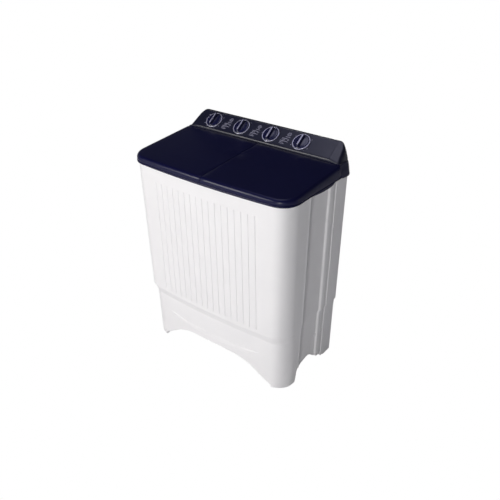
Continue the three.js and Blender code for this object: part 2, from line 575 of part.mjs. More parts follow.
place(machine, 'cabinet', cabinet(), WHITE);
place(machine, 'base_plinth', basePlinth(), WHITE);
place(machine, 'rear_panel', rearPanel(), WHITE);
place(machine, 'top_deck', topDeck(), NAVY);
place(machine, 'wash_lid', lid([-FAR, -LID.seam]), NAVY);
place(machine, 'spin_lid', lid([LID.seam, FAR]), NAVY);
place(machine, 'wash_lid_hinge_rod', hingeRod([-379, -9]), STEEL);
place(machine, 'spin_lid_hinge_rod', hingeRod([9, 379]), STEEL);
place(machine, 'console_housing', consoleHousing(), NAVY);
place(machine, 'console_fascia', consoleFascia(), NAVY);
place(machine, 'console_rear_cover', consoleRearCover(), NAVY);

const controls = [
  ['wash_timer', timer], ['wash_selector', rotarySwitch], ['drain_selector', drainCam], ['spin_timer', timer],
];
const BEHIND = { wash_timer: 'wash_timer', wash_selector: 'wash_selector_switch', drain_selector: 'drain_selector_cam',
  spin_timer: 'spin_timer' };
const slope = new THREE.Group();
slope.position.set(0, CONSOLE.midY, CONSOLE.midZ);
slope.rotation.x = slopeAngle;
machine.add(slope);
controls.forEach(([name, mechanism], i) => {
  const station = new THREE.Group();
  station.position.x = KNOB_X[i];
  slope.add(station);
  place(station, `${name}_bezel`, knobBezel(), SILVER);
  place(station, `${name}_knob`, knob(), NAVY_KNOB);
  place(station, `${name}_knob_insert`, knobInsert(), SILVER);
  place(station, BEHIND[name], mechanism(), GREY_PLASTIC);
});

place(machine, 'wash_tub', washTub(), TUB_PLASTIC);
place(machine, 'filter_channel_cover', filterChannelCover(), TUB_PLASTIC);
place(machine, 'lint_filter', lintFilter(), PULSATOR_BLUE);
place(machine, 'pulsator', pulsator(), PULSATOR_BLUE);
place(machine, 'pulsator_shaft', pulsatorShaft(), STEEL);
place(machine, 'pulsator_bearing_housing', bearingHousing(), GREY_PLASTIC);
place(machine, 'drive_pulley', drivePulley(), BLACK_PAINT);
place(machine, 'motor_pulley', motorPulley(), STEEL);
place(machine, 'drive_belt', belt(), RUBBER);
place(machine, 'wash_motor', washMotor(), BLACK_PAINT);
place(machine, 'motor_bracket', motorBracket(), STEEL);

place(machine, 'spin_outer_tub', spinOuterTub(), TUB_PLASTIC);
place(machine, 'spin_basket', spinBasket(), NATURAL);
place(machine, 'spin_shaft', spinShaft(), STEEL);
place(machine, 'brake_drum', brakeDrum(), STEEL);
place(machine, 'spin_motor', spinMotor(), BLACK_PAINT);
place(machine, 'spin_motor_platform', spinMotorPlatform(), STEEL);
place(machine, 'brake_lever', brakeLever(), STEEL);
place(machine, 'brake_wire', brakeWire(), STEEL);
SPRINGS.forEach((at, i) => place(machine, `spin_motor_spring_${i + 1}`, spinSpring(at), STEEL));
place(machine, 'spin_bellows', spinBellows(), RUBBER);
place(machine, 'spin_bearing', spinBearing(), STEEL);

place(machine, 'drain_valve_box', drainValveBox(), NATURAL);
place(machine, 'drain_valve_rod', drainValveRod(), NATURAL);
place(machine, 'drain_pipe', drainPipe(), GREY_PLASTIC);
place(machine, 'water_inlet', waterInlet(), NATURAL);
place(machine, 'power_cord_gland', powerCordGland(), RUBBER);

for (const [side, x] of [['left', FOOT_PLACES.left], ['right', FOOT_PLACES.right]]) {
  place(machine, `foot_front_${side}`, foot(x, FOOT_PLACES.front), RUBBER);
  place(machine, `foot_rear_${side}`, foot(x, FOOT_PLACES.rear), RUBBER);
}

export default machine;
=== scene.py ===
# Twin tub washer: wash tub with a pulsator on the left, spin basket on the right.
# Lengths are millimetres until a mesh is made; every finished mesh is in metres in the frame's axes.
import json
import math

import bmesh
import bpy
from mathutils import Matrix, Vector

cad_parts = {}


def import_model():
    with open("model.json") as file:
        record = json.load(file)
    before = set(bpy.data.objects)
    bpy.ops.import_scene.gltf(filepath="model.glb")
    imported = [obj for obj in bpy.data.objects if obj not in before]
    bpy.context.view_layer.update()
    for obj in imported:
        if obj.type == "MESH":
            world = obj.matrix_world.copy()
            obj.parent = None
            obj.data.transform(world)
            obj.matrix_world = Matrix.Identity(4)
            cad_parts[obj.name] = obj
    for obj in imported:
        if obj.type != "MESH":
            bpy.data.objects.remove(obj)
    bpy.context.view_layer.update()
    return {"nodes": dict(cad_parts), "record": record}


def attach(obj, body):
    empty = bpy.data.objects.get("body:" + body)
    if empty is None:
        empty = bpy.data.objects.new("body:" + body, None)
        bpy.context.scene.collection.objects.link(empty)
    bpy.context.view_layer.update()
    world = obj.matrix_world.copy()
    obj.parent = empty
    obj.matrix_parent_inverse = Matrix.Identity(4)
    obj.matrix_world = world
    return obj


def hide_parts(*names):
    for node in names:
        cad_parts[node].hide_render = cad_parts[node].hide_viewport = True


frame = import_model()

MM = 0.001
PRINT = 0.16               # thickness of the printed marks

# ---------------------------------------------------------------- sizes shared by several pieces
HALF_WIDTH = 386          # casing half width at its top
FRONT, REAR = -219, 220
BOW = 18.6                # the middle of the front stands this far ahead of its ends
LEAN = 0.019              # front and sides lean in towards the floor
FRONT_CORNER, REAR_CORNER = 72.5, 25
CASE_BOTTOM, CASE_TOP = 283.5, 875
WALL = 3
DECK_TOP, SHOULDER, SHOULDER_Y = 880, 926, 140
COLLAR_LOW, COLLAR_HIGH = 878, 886
OVERHANG = 8
SIDE_LEAN = 0.26          # sides of the hood and console above the deck
CONSOLE_BOTTOM, CONSOLE_FRONT, CONSOLE_REAR = 926.3, 142, 228
SLOPE = math.radians(35)
SLOPE_Y, SLOPE_Z = 178.1, 962
CREASE, END_FALL = 335, 0.213
LID_BOTTOM, LID_REAR = 881, 134.5
HINGE_Y, HINGE_Z, HINGE_EAR, HINGE_HOLE = 115, 915.5, 4.6, 2.6
EAR_WIDTH, LUG_HALF = 6, 6
HEEL_SWING, HEEL_GAP = 34.8, 0.8   # radius that the lids' heels turn in, and its gap to the deck
EARS = (-372, -22, 16, 366)
KNOBS = {"wash_timer": -267, "wash_selector": -117, "drain_selector": 34, "spin_timer": 183}
WASH_MOUTH = ((-350, -18), (-185, 100), 40)
SPIN_X, SPIN_Y, SPIN_MOUTH = 191, -30, 125
PULSATOR_X, PULSATOR_Y = -186, -34
MOTOR_X, MOTOR_Y = -36, 40
BELT_Z, DRIVE_GROOVE, MOTOR_GROOVE = 300, 100, 25    # belt's height, groove radii of its two pulleys
DRAIN_X, DRAIN_Y = 34, 185


# ---------------------------------------------------------------- colours and nodes
def hex_colour(code):
    """An sRGB hex colour as linear RGBA."""
    values = [int(code[i:i + 2], 16) / 255 for i in (1, 3, 5)]
    return tuple(v / 12.92 if v <= 0.04045 else ((v + 0.055) / 1.055) ** 2.4 for v in values) + (1.0,)


def add(tree, kind, settings=None, **inputs):
    """Adds a node; settings are its properties, inputs are values or sockets by input name or number."""
    node = tree.nodes.new(kind)
    for key, value in (settings or {}).items():
        setattr(node, key, value)
    for key, value in inputs.items():
        socket = node.inputs[int(key[1:])] if key[0] == "_" else node.inputs[key.replace("_", " ")]
        if isinstance(value, bpy.types.NodeSocket):
            tree.links.new(value, socket)
        else:
            socket.default_value = value
    return node


def new_material(name):
    """An empty material, its node tree and its Object coordinates."""
    material = bpy.data.materials.new(name)
    material.use_nodes = True
    tree = material.node_tree
    tree.nodes.clear()
    return material, tree, add(tree, "ShaderNodeTexCoord").outputs["Object"]


def between(tree, factor, low, high):
    """low and high mixed by a factor socket; both are numbers or both are colours."""
    if isinstance(low, tuple):
        node = add(tree, "ShaderNodeMix", {"data_type": "RGBA"}, _0=factor, _6=low, _7=high)
        return node.outputs[2]
    node = add(tree, "ShaderNodeMapRange", None, Value=factor, _3=low, _4=high)
    return node.outputs[0]


def moulded(name, colour, shade, roughness, grain_mm, grain_depth, wave_mm=60, wave_depth=0.0, ior=1.49,
            coat=0.0,
            coat_roughness=0.05):
    """Moulded plastic: a grain of grain_mm, sink waves of wave_mm, handling marks in the gloss."""
    material, tree, place = new_material(name)
    cloud = add(tree, "ShaderNodeTexNoise", None, Vector=place, Scale=1000 / 140, Detail=3.0, Roughness=0.55)
    marks = add(tree, "ShaderNodeTexNoise", None, Vector=place, Scale=1000 / 26, Detail=5.0, Roughness=0.7)
    grain = add(tree, "ShaderNodeTexNoise", None, Vector=place, Scale=1000 / grain_mm, Detail=2.0,
                Roughness=0.5)
    wave = add(tree, "ShaderNodeTexNoise", None, Vector=place, Scale=1000 / wave_mm, Detail=1.0)
    bump = add(tree, "ShaderNodeBump", None, Strength=1.0, Distance=wave_depth * MM, Height=wave.outputs[0])
    bump = add(tree, "ShaderNodeBump", None, Strength=1.0, Distance=grain_depth * MM, Height=grain.outputs[0],
               Normal=bump.outputs[0])
    shader = add(tree, "ShaderNodeBsdfPrincipled", None, Normal=bump.outputs[0], IOR=ior,
                 Base_Color=between(tree, cloud.outputs[0], hex_colour(shade), hex_colour(colour)),
                 Roughness=between(tree, marks.outputs[0], roughness * 0.78, roughness * 1.25))
    shader.inputs["Coat Weight"].default_value = coat
    shader.inputs["Coat Roughness"].default_value = coat_roughness
    add(tree, "ShaderNodeOutputMaterial", None, Surface=shader.outputs[0])
    return material


def brushed(name, colour, roughness, streak_mm, streak_depth, along=(0.04, 1, 1)):
    """Metal or plating with fine streaks along one axis."""
    material, tree, place = new_material(name)
    stretch = add(tree, "ShaderNodeMapping", None, Vector=place, Scale=along)
    streaks = add(tree, "ShaderNodeTexNoise", None, Vector=stretch.outputs[0], Scale=1000 / streak_mm,
                  Detail=4.0,
                  Roughness=0.6)
    cloud = add(tree, "ShaderNodeTexNoise", None, Vector=place, Scale=1000 / 30, Detail=2.0)
    bump = add(tree, "ShaderNodeBump", None, Strength=1.0, Distance=streak_depth * MM,
               Height=streaks.outputs[0])
    dark = tuple(0.82 * v for v in hex_colour(colour)[:3]) + (1.0,)
    shader = add(tree, "ShaderNodeBsdfPrincipled", None, Normal=bump.outputs[0], Metallic=1.0,
                 Base_Color=between(tree, streaks.outputs[0], dark, hex_colour(colour)),
                 Roughness=between(tree, cloud.outputs[0], roughness * 0.8, roughness * 1.3))
    add(tree, "ShaderNodeOutputMaterial", None, Surface=shader.outputs[0])
    return material


# ---------------------------------------------------------------- finishes
def white_polypropylene():
    # casing: moulded polypropylene with a fine spark-eroded grain, so its highlights are wide and soft
    return moulded("white_polypropylene_moulded", "#ecebee", "#e6e5e9", 0.38, 1.1, 0.02, 90, 0.25)


def navy_abs():
    # lids and deck: high-gloss ABS from a polished mould, deep blue-black with clear soft reflections
    return moulded("navy_abs_gloss", "#10113c", "#0d0e33", 0.3, 2.5, 0.004, 70, 0.12, 1.34, 0.0)


def navy_console_abs():
    # console: the same ABS with a slightly open polish, so it takes a wider sheen than the lids; its base
    # colour is a lighter, greyer navy than the lids', a painted sheen that stands in for the console's
    # reflections
    return moulded("navy_abs_satin_painted_sheen", "#17192f", "#13152a", 0.36, 1.4, 0.01, 70, 0.12, 1.5, 0.1, 0.25)


def knob_abs():
    # knobs: navy ABS, glossy on the disc and bar, handled
    return moulded("navy_knob_abs", "#11133e", "#0c0e30", 0.26, 1.0, 0.005, 30, 0.03, 1.5, 0.2)


def plated_trim():
    # rings and pointer strips: satin chromium on ABS, cool, with a slight lilac tint painted into its colour
    # as a reflection of the navy
    return brushed("satin_chromium_plate", "#dcdbee", 0.42, 0.8, 0.006)


def tub_polypropylene():
    # wash tub and spin casing: blow-smooth white polypropylene, glossier inside than the casing
    return moulded("tub_polypropylene", "#e3e8ea", "#dbe2e6", 0.3, 2.0, 0.01, 60, 0.1)


def pulsator_polypropylene():
    # pulsator and lint filter frame: tinted polypropylene, worn smooth by laundry
    return moulded("blue_polypropylene", "#3f74bd", "#3566aa", 0.32, 1.6, 0.012, 50, 0.05)


def natural_polypropylene():
    # spin basket and valve parts: unpigmented polypropylene, waxy and a little warm
    return moulded("natural_polypropylene", "#dedbcf", "#d3cfc0", 0.42, 1.6, 0.012, 50, 0.06)


def grey_nylon():
    # switch and bearing cases: glass-filled nylon with a mottled grey skin
    return moulded("grey_nylon", "#8f949a", "#7d8288", 0.5, 0.9, 0.03, 30, 0.03)


def zinc_steel():
    # shafts, rods, bracket: zinc-plated mild steel with drawn streaks
    return brushed("zinc_plated_steel", "#b9bcc0", 0.32, 1.2, 0.01, (1, 1, 0.05))


def motor_enamel():
    # motor cases and pulleys: dipped black enamel, thick at its edges with a faint orange peel
    return moulded("black_enamel", "#26282c", "#1c1e21", 0.36, 3.0, 0.03, 20, 0.03, 1.5, 0.2, 0.15)


def black_rubber():
    # belt, feet, bellows, gland: moulded rubber with a dusty bloom
    return moulded("black_rubber", "#2a2b2d", "#1c1d1f", 0.82, 0.7, 0.05, 20, 0.02)


def dial_ink():
    # dial scales: pad-printed light grey ink, matt
    return moulded("pad_printed_ink", "#b9b8cb", "#a5a4bc", 0.55, 0.5, 0.003, 30, 0.0)


WHITE, NAVY, SATIN_NAVY_PAINTED_SHEEN, KNOB_NAVY = white_polypropylene(), navy_abs(), navy_console_abs(), knob_abs()
CHROME, TUB_WHITE = plated_trim(), tub_polypropylene()
BLUE, NATURAL = pulsator_polypropylene(), natural_polypropylene()
NYLON, STEEL, ENAMEL, RUBBER, INK = grey_nylon(), zinc_steel(), motor_enamel(), black_rubber(), dial_ink()
FINISH_OF_SLOT = {
    "white_shell": WHITE, "navy_gloss": NAVY, "navy_knob": KNOB_NAVY, "silver_trim": CHROME,
                  "tub_plastic": TUB_WHITE,
    "pulsator_blue": BLUE, "natural_plastic": NATURAL, "grey_plastic": NYLON, "steel": STEEL,
                  "motor_paint": ENAMEL,
    "rubber": RUBBER,
}


# ---------------------------------------------------------------- meshes
class Shape:
    """Points and faces of one mesh, in millimetres."""

    def __init__(self):
        self.points, self.faces = [], []

    def row(self, points):
        """Adds points and gives their numbers."""
        start = len(self.points)
        self.points += [tuple(p) for p in points]
        return list(range(start, len(self.points)))

    def bridge(self, low, high, closed=True, keep=None):
        """Quads from one row to the next; they face up-cross-along."""
        count = len(low)
        for i in range(count if closed else count - 1):
            j = (i + 1) % count
            if keep is None or keep(i):
                self.faces.append((low[i], high[i], high[j], low[j]))

    def skin(self, rows, closed=True):
        """Adds rows and bridges each to the next."""
        rows = [self.row(r) for r in rows]
        for low, high in zip(rows, rows[1:]):
            self.bridge(low, high, closed)
        return rows

    def capped(self, rings):
        """Skins rings one above the other and closes the first and the last with a flat face."""
        rows = self.skin(rings)
        self.faces += [tuple(rows[0]), tuple(rows[-1][::-1])]
        return self

    def fan(self, row, facing_up):
        """Closes a row with a fan round its middle."""
        middle = [sum(self.points[i][a] for i in row) / len(row) for a in range(3)]
        hub = self.row([middle])[0]
        for i, j in zip(row, row[1:] + row[:1]):
            self.faces.append((hub, j, i) if facing_up else (hub, i, j))

    def merge(self, other, move=lambda p: p):
        """Adds another shape's points, each moved, and its faces."""
        start = len(self.points)
        self.points += [tuple(move(p)) for p in other.points]
        self.faces += [tuple(start + i for i in face) for face in other.faces]
        return self


def linked(name, data):
    """A new object in the scene."""
    obj = bpy.data.objects.new(name, data)
    bpy.context.scene.collection.objects.link(obj)
    return obj


def mesh_of(name, shape):
    """A new object in metres from a shape in millimetres."""
    mesh = bpy.data.meshes.new(name)
    mesh.from_pydata([Vector(p) * MM for p in shape.points], [], shape.faces)
    mesh.validate()
    return linked(name, mesh)


def settle(obj):
    """Takes the modifiers' result as the object's own mesh."""
    bpy.context.view_layer.update()
    graph = bpy.context.evaluated_depsgraph_get()
    mesh = bpy.data.meshes.new_from_object(obj.evaluated_get(graph))
    obj.modifiers.clear()
    obj.data = mesh
    return obj


def modify(obj, kind, **settings):
    """Adds one modifier and takes its result."""
    modifier = obj.modifiers.new(kind.lower(), kind)
    for key, value in settings.items():
        setattr(modifier, key, value)
    return settle(obj)


def bevel(obj, width, segments, angle):
    """Rounds the edges sharper than angle degrees; the width is in millimetres."""
    return modify(obj, "BEVEL", width=width * MM, segments=segments, limit_method="ANGLE",
                  angle_limit=math.radians(angle))


def boolean(obj, operation, *others):
    """Unites with, cuts by or keeps what is common with closed objects, which are used up."""
    for other in others:
        modify(obj, "BOOLEAN", operation=operation, solver="MANIFOLD", object=other)
        bpy.data.objects.remove(other)
    return obj


def face_outwards(obj):
    """Welds a closed mesh and turns its faces out."""
    work = bmesh.new()
    work.from_mesh(obj.data)
    bmesh.ops.remove_doubles(work, verts=work.verts, dist=1e-6)
    bmesh.ops.recalc_face_normals(work, faces=work.faces)
    work.to_mesh(obj.data)
    work.free()
    return obj


def finish_piece(obj, material, body, stands_for=(), smooth=32, outward=False):
    """Material, shading, body and the CAD nodes that a piece stands for."""
    if outward:
        face_outwards(obj)
    mesh = obj.data
    mesh.materials.clear()
    mesh.materials.append(material)
    mesh.shade_smooth()
    mesh.set_sharp_from_angle(angle=math.radians(smooth))
    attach(obj, body)
    if stands_for:
        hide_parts(*stands_for)
    return obj


def arc(cx, cy, r, start, end, steps):
    """Points on a circle from start to end degrees."""
    turns = [math.radians(start + (end - start) * i / steps) for i in range(steps + 1)]
    return [(cx + r * math.cos(a), cy + r * math.sin(a)) for a in turns]


def rounded_rectangle(x, y, r, steps=8):
    """Anticlockwise seen from above."""
    return (arc(x[1] - r, y[1] - r, r, 0, 90, steps) + arc(x[0] + r, y[1] - r, r, 90, 180, steps)
            + arc(x[0] + r, y[0] + r, r, 180, 270, steps) + arc(x[1] - r, y[0] + r, r, 270, 360, steps))


def turned(x, y, profile, segments=64, closed=False):
    """A shape turned about the upright line at (x, y); its profile is [(radius, z)], solid on the left."""
    shape = Shape()
    rows = []
    for radius, z in profile:
        if radius < 1e-6:
            rows.append(shape.row([(x, y, z)]))
        else:
            rows.append(shape.row([(px, py, z) for px, py in arc(x, y, radius, 0, -360, segments)[:-1]]))
    pairs = list(zip(rows, rows[1:])) + ([(rows[-1], rows[0])] if closed else [])
    for low, high in pairs:
        if len(low) > 1 and len(high) > 1:
            shape.bridge(low, high)
        else:
            hub, ring, up = (low[0], high, False) if len(low) == 1 else (high[0], low, True)
            if len(ring) > 1:
                for i, j in zip(ring, ring[1:] + ring[:1]):
                    shape.faces.append((hub, j, i) if up else (hub, i, j))
    return shape


def prism(outline, z0, z1):
    """A flat anticlockwise outline pushed up from z0 to z1."""
    return Shape().capped([[(x, y, z) for x, y in outline[::-1]] for z in (z0, z1)])


def cylinder(x, y, r, segments, z0, z1):
    """A round bar standing at (x, y)."""
    return prism(arc(x, y, r, 0, 360, segments)[:-1], z0, z1)


def block(x, y, z):
    """A box from three (low, high) pairs."""
    return prism([(x[0], y[0]), (x[1], y[0]), (x[1], y[1]), (x[0], y[1])], *z)


def sweep(path, radius, segments=12, closed=False):
    """A round bar along a path of points; radius is a number or one for each point."""
    shape, rows, count = Shape(), [], len(path)
    points = [Vector(p) for p in path]
    normal = None
    for k, point in enumerate(points):
        ahead = points[(k + 1) % count] if closed or k + 1 < count else point
        behind = points[k - 1] if closed or k else point
        along = (ahead - behind).normalized()
        if normal is None:
            normal = along.orthogonal().normalized()
        normal = (normal - along * normal.dot(along)).normalized()
        other = along.cross(normal)
        r = radius[k] if isinstance(radius, (list, tuple)) else radius
        rows.append(shape.row([point + (normal * math.cos(a) - other * math.sin(a)) * r
                               for a in (2 * math.pi * i / segments for i in range(segments))]))
    for low, high in zip(rows, rows[1:] + (rows[:1] if closed else [])):
        shape.bridge(low, high)
    if not closed:
        shape.fan(rows[0], False)
        shape.fan(rows[-1], True)
    return shape


def on_slope(point):
    """From the console's own frame (x across, y up the slope, z out of it) to the machine's."""
    x, y, z = point
    return (x, SLOPE_Y + y * math.cos(SLOPE) - z * math.sin(SLOPE),
            SLOPE_Z + y * math.sin(SLOPE) + z * math.cos(SLOPE))


# ---------------------------------------------------------------- outline of the machine
def outline(z, stations, inset=0.0, setback=0.0, side_step=0.0, rear_step=None):
    """[(x, y, outward x, outward y)] at height z for each station, clockwise seen from above."""
    lean = LEAN * (CASE_TOP - z)
    half = HALF_WIDTH - lean - side_step
    front = FRONT + lean + setback
    rear = REAR - (side_step / 2 if rear_step is None else rear_step)
    bow = (half * half + BOW * BOW) / (2 * BOW)
    bow_y = front + bow
    corner_x = half - FRONT_CORNER
    corner_y = bow_y - math.sqrt((bow - FRONT_CORNER) ** 2 - corner_x ** 2)
    sweep = math.atan2(corner_x, bow_y - corner_y)
    reach = bow * math.sin(sweep)
    found = []
    for kind, side, t in stations:
        if kind == "rear":
            x, y, nx, ny = t, rear, 0.0, 1.0
        elif kind == "rear_corner":
            a = math.radians(90 * (1 - t))
            nx, ny = math.cos(a), math.sin(a)
            x, y = half - REAR_CORNER + REAR_CORNER * nx, rear - REAR_CORNER + REAR_CORNER * ny
        elif kind == "side":
            x, y, nx, ny = half, t, 1.0, 0.0
        elif kind == "front_corner":
            a = -t * (math.pi / 2 - sweep)
            nx, ny = math.cos(a), math.sin(a)
            x, y = corner_x + FRONT_CORNER * nx, corner_y + FRONT_CORNER * ny
        else:
            x = t if kind == "front" else FRONT_FLAT + t * (reach - FRONT_FLAT)
            nx = x / bow
            ny = -math.sqrt(1 - nx * nx)
            y = bow_y + bow * ny
        found.append((side * (x - inset * nx), y - inset * ny, side * nx, ny))
    return found


FRONT_FLAT = 256
GROOVES = [-248 + 30.93 * i for i in range(17)]
GROOVE_STEPS = (-3.4, -2.6, -1.4, 0, 1.4, 2.6, 3.4)
FRONT_X = sorted({round(x + d, 2) for x in GROOVES for d in GROOVE_STEPS} | {0.0, -255.0, 255.0})
SIDE_Y = [185, 170, 150, 135, 124, 121.5, 120, 118.5, 116, 112, 108, 100, 90, 80, 78, 77, 75.5, 73, 69, 62,
          52, 38, 22, 6,
          -12, -28, -40, -47, -52, -55, -57, -59, -61.5, -64, -68, -75, -85, -98]
REAR_X = [300, 270, 190, 95]


def ring_stations(front_x=FRONT_X, side_y=SIDE_Y, corner=16, rear_x=REAR_X):
    """Stations all the way round: rear middle, right side, front, left side, back to the rear middle."""
    right = ([("rear", 1, x) for x in rear_x[::-1]] + [("rear_corner", 1, i / 6) for i in range(7)]
             + [("side", 1, y) for y in side_y] + [("front_corner", 1, i / corner) for i in range(corner + 1)]
             + [("front_end", 1, t) for t in (0.7, 0.4, 0.1)])
    left = [(kind, -1, t) for kind, _, t in right[::-1]]
    return right + [("front", 1, x) for x in front_x[::-1]] + left + [("rear", 1, 0.0)]


def table(knots, x):
    """Straight lines between (x, value) knots."""
    if x <= knots[0][0]:
        return knots[0][1]
    for (x0, v0), (x1, v1) in zip(knots, knots[1:]):
        if x <= x1:
            return v0 + (v1 - v0) * (x - x0) / (x1 - x0)
    return knots[-1][1]


def soft_step(low, high, x):
    """0 below low, 1 above high, smooth between."""
    t = min(max((x - low) / (high - low), 0.0), 1.0)
    return t * t * (3 - 2 * t)


# Pressed relief of the two sides: a bead, a long hollow that ends in a step, and a narrow groove behind it.
SIDE_RELIEF = [(-68, 0), (-64, -0.9), (-60, -1.0), (-57, 0.6), (-53, 5.4), (-47, 7.8), (-28, 8.6), (6, 8.8),
               (38, 8.6),
               (62, 8.2), (69, 8.0), (73, 7.4), (77, 2.0), (79, 0.3), (82, 0), (108, 0), (112, 1.0),
               (115, 4.6),
               (118.5, 5.4), (120, 4.8), (123, 0.6), (126, 0)]


def side_relief(station):
    """Depth of the sides' pressed relief."""
    return table(SIDE_RELIEF, station[2]) if station[0] == "side" else 0.0


GROOVE_LOW, GROOVE_HIGH, GROOVE_DEPTH = 297, 812.5, 2.3
GROOVE_FLAT, GROOVE_HALF = 1.1, 3.4     # half widths of a groove's floor and mouth


def groove_relief(station, x, z):
    """Depth of the nearest front groove, whose ends are round."""
    if station[0] != "front":
        return 0.0
    across = min(abs(x - g) for g in GROOVES)
    past = max(GROOVE_LOW + GROOVE_HALF - z, z - GROOVE_HIGH + GROOVE_HALF, 0.0)
    return GROOVE_DEPTH * (1 - soft_step(GROOVE_FLAT, GROOVE_HALF, math.hypot(across, past)))


def relieved(ring, stations, z, depth_at):
    """The ring's points moved inwards by depth_at(station, x, z)."""
    out = []
    for (x, y, nx, ny), station in zip(ring, stations):
        depth = depth_at(station, x, z)
        out.append((x - nx * depth, y - ny * depth, z))
    return out


# ---------------------------------------------------------------- casing
REAR_OPENING = (300, 330, 790)      # half width, lowest, highest


def cabinet():
    """Thin wrap-round casing with vertical grooves in front, pressed sides and an open back."""
    stations = ring_stations()
    half, low, high = REAR_OPENING
    ends = [GROOVE_LOW + d for d in (0, 0.8, 1.8, 3.4, 6)] + [GROOVE_HIGH - d for d in (6, 3.4, 1.8, 0.8, 0)]
    levels = sorted(set([288, 292, 295, 330, 420, 520, 620, 720, 790, 805, 816, 840, 862, CASE_TOP] + ends))
    edge = [(CASE_BOTTOM + 0.2, 2.4), (CASE_BOTTOM + 0.9, 1.1), (CASE_BOTTOM + 2.2, 0.3),
            (CASE_BOTTOM + 4, 0.0)]
    levels = [(z, 0.0) for z in levels if z > CASE_BOTTOM + 4.2]

    def outer(z, inset):
        return relieved(outline(z, stations, inset), stations, z,
                        lambda s, x, h: side_relief(s) + groove_relief(s, x, h))

    def inner(z):
        return relieved(outline(z, stations, WALL), stations, z, lambda s, x, h: side_relief(s))

    shape = Shape()
    outside = [shape.row(outer(z, inset)) for z, inset in edge + levels]
    inside_levels = [CASE_BOTTOM + 0.2] + [z for z, _ in levels]
    inside = [shape.row(inner(z)) for z in inside_levels]
    count = len(stations)

    def open_cell(i, z0, z1):
        a, b = stations[i], stations[(i + 1) % count]
        return a[0] == b[0] == "rear" and abs(a[2]) <= half and abs(b[2]) <= half and z0 >= low and z1 <= high

    for rows, zs, flip in ((outside, [z for z, _ in edge + levels], False), (inside, inside_levels, True)):
        for k in range(len(rows) - 1):
            a, b = (rows[k], rows[k + 1]) if not flip else (rows[k + 1], rows[k])
            shape.bridge(a, b, keep=lambda i: not open_cell(i, zs[k], zs[k + 1]))
    shape.bridge(inside[0], outside[0])
    shape.bridge(outside[-1], inside[-1])
    # rims of the rear opening
    out_at = dict(zip([z for z, _ in edge + levels], outside))
    in_at = dict(zip(inside_levels, inside))
    hole_zs = [z for z in inside_levels if low <= z <= high]
    cells = [i for i in range(count) if open_cell(i, low, low)]
    for i in cells:
        j = (i + 1) % count
        shape.faces.append((out_at[low][i], in_at[low][i], in_at[low][j], out_at[low][j]))
        shape.faces.append((out_at[high][j], in_at[high][j], in_at[high][i], out_at[high][i]))
    first = next(i for i in cells if (i - 1) % count not in cells)
    last = (next(i for i in cells if (i + 1) % count not in cells) + 1) % count
    for z0, z1 in zip(hole_zs, hole_zs[1:]):
        shape.faces.append((out_at[z0][first], out_at[z1][first], in_at[z1][first], in_at[z0][first]))
        shape.faces.append((out_at[z0][last], in_at[z0][last], in_at[z1][last], out_at[z1][last]))
    return finish_piece(mesh_of("casing_wrap", shape), WHITE, "frame", ["cabinet"], 28,
                        outward=True)


# ---------------------------------------------------------------- plinth
PLINTH_BOTTOM, PLINTH_STEP, PLINTH_TOP = 6, 243, 283.2
PLINTH_SETBACK, PLINTH_SIDE = 16.6, 6
PLINTH_FLOOR = 150
SIDE_ARCH = [(-84, 6), (-79, 30), (-74, 58), (-69, 68), (-62, 70), (-45, 62), (-30, 68), (-7, 72), (9, 75),
             (25, 76),
             (41, 68), (68, 46), (85, 36), (102, 34), (120, 24), (138, 10), (146, 6)]
REAR_ARCH = [(205, 108), (215, 104), (228, 92), (240, 78), (250, 58), (262, 32), (275, 6)]
LEG_X, LEG_FRONT_Y, LEG_REAR_Y = 300, -78, 130
BELL_RISE, BELL_HALF = 102, 260
SCOOP_TOP, SCOOP_HALF, SCOOP_HEIGHT, SCOOP_DEPTH = 153, 246, 27, 8.5


def plinth_edge(station, x):
    """Height of the plinth's lower edge: a bell in front, a stepped arch each side, an arch behind."""
    kind, _, t = station
    if kind in ("front", "front_end", "front_corner"):
        return PLINTH_BOTTOM + BELL_RISE * math.exp(-(abs(x) / BELL_HALF) ** 4.6)
    if kind == "side":
        return table(SIDE_ARCH, t)
    if kind == "rear":
        return table(REAR_ARCH, abs(t))
    return PLINTH_BOTTOM


def scoop(x):
    """(top, height) of the crescent scoop under the waist of the plinth."""
    share = min(abs(x) / SCOOP_HALF, 1)
    return SCOOP_TOP + 13 * share ** 2, SCOOP_HEIGHT * (1 - share ** 2)


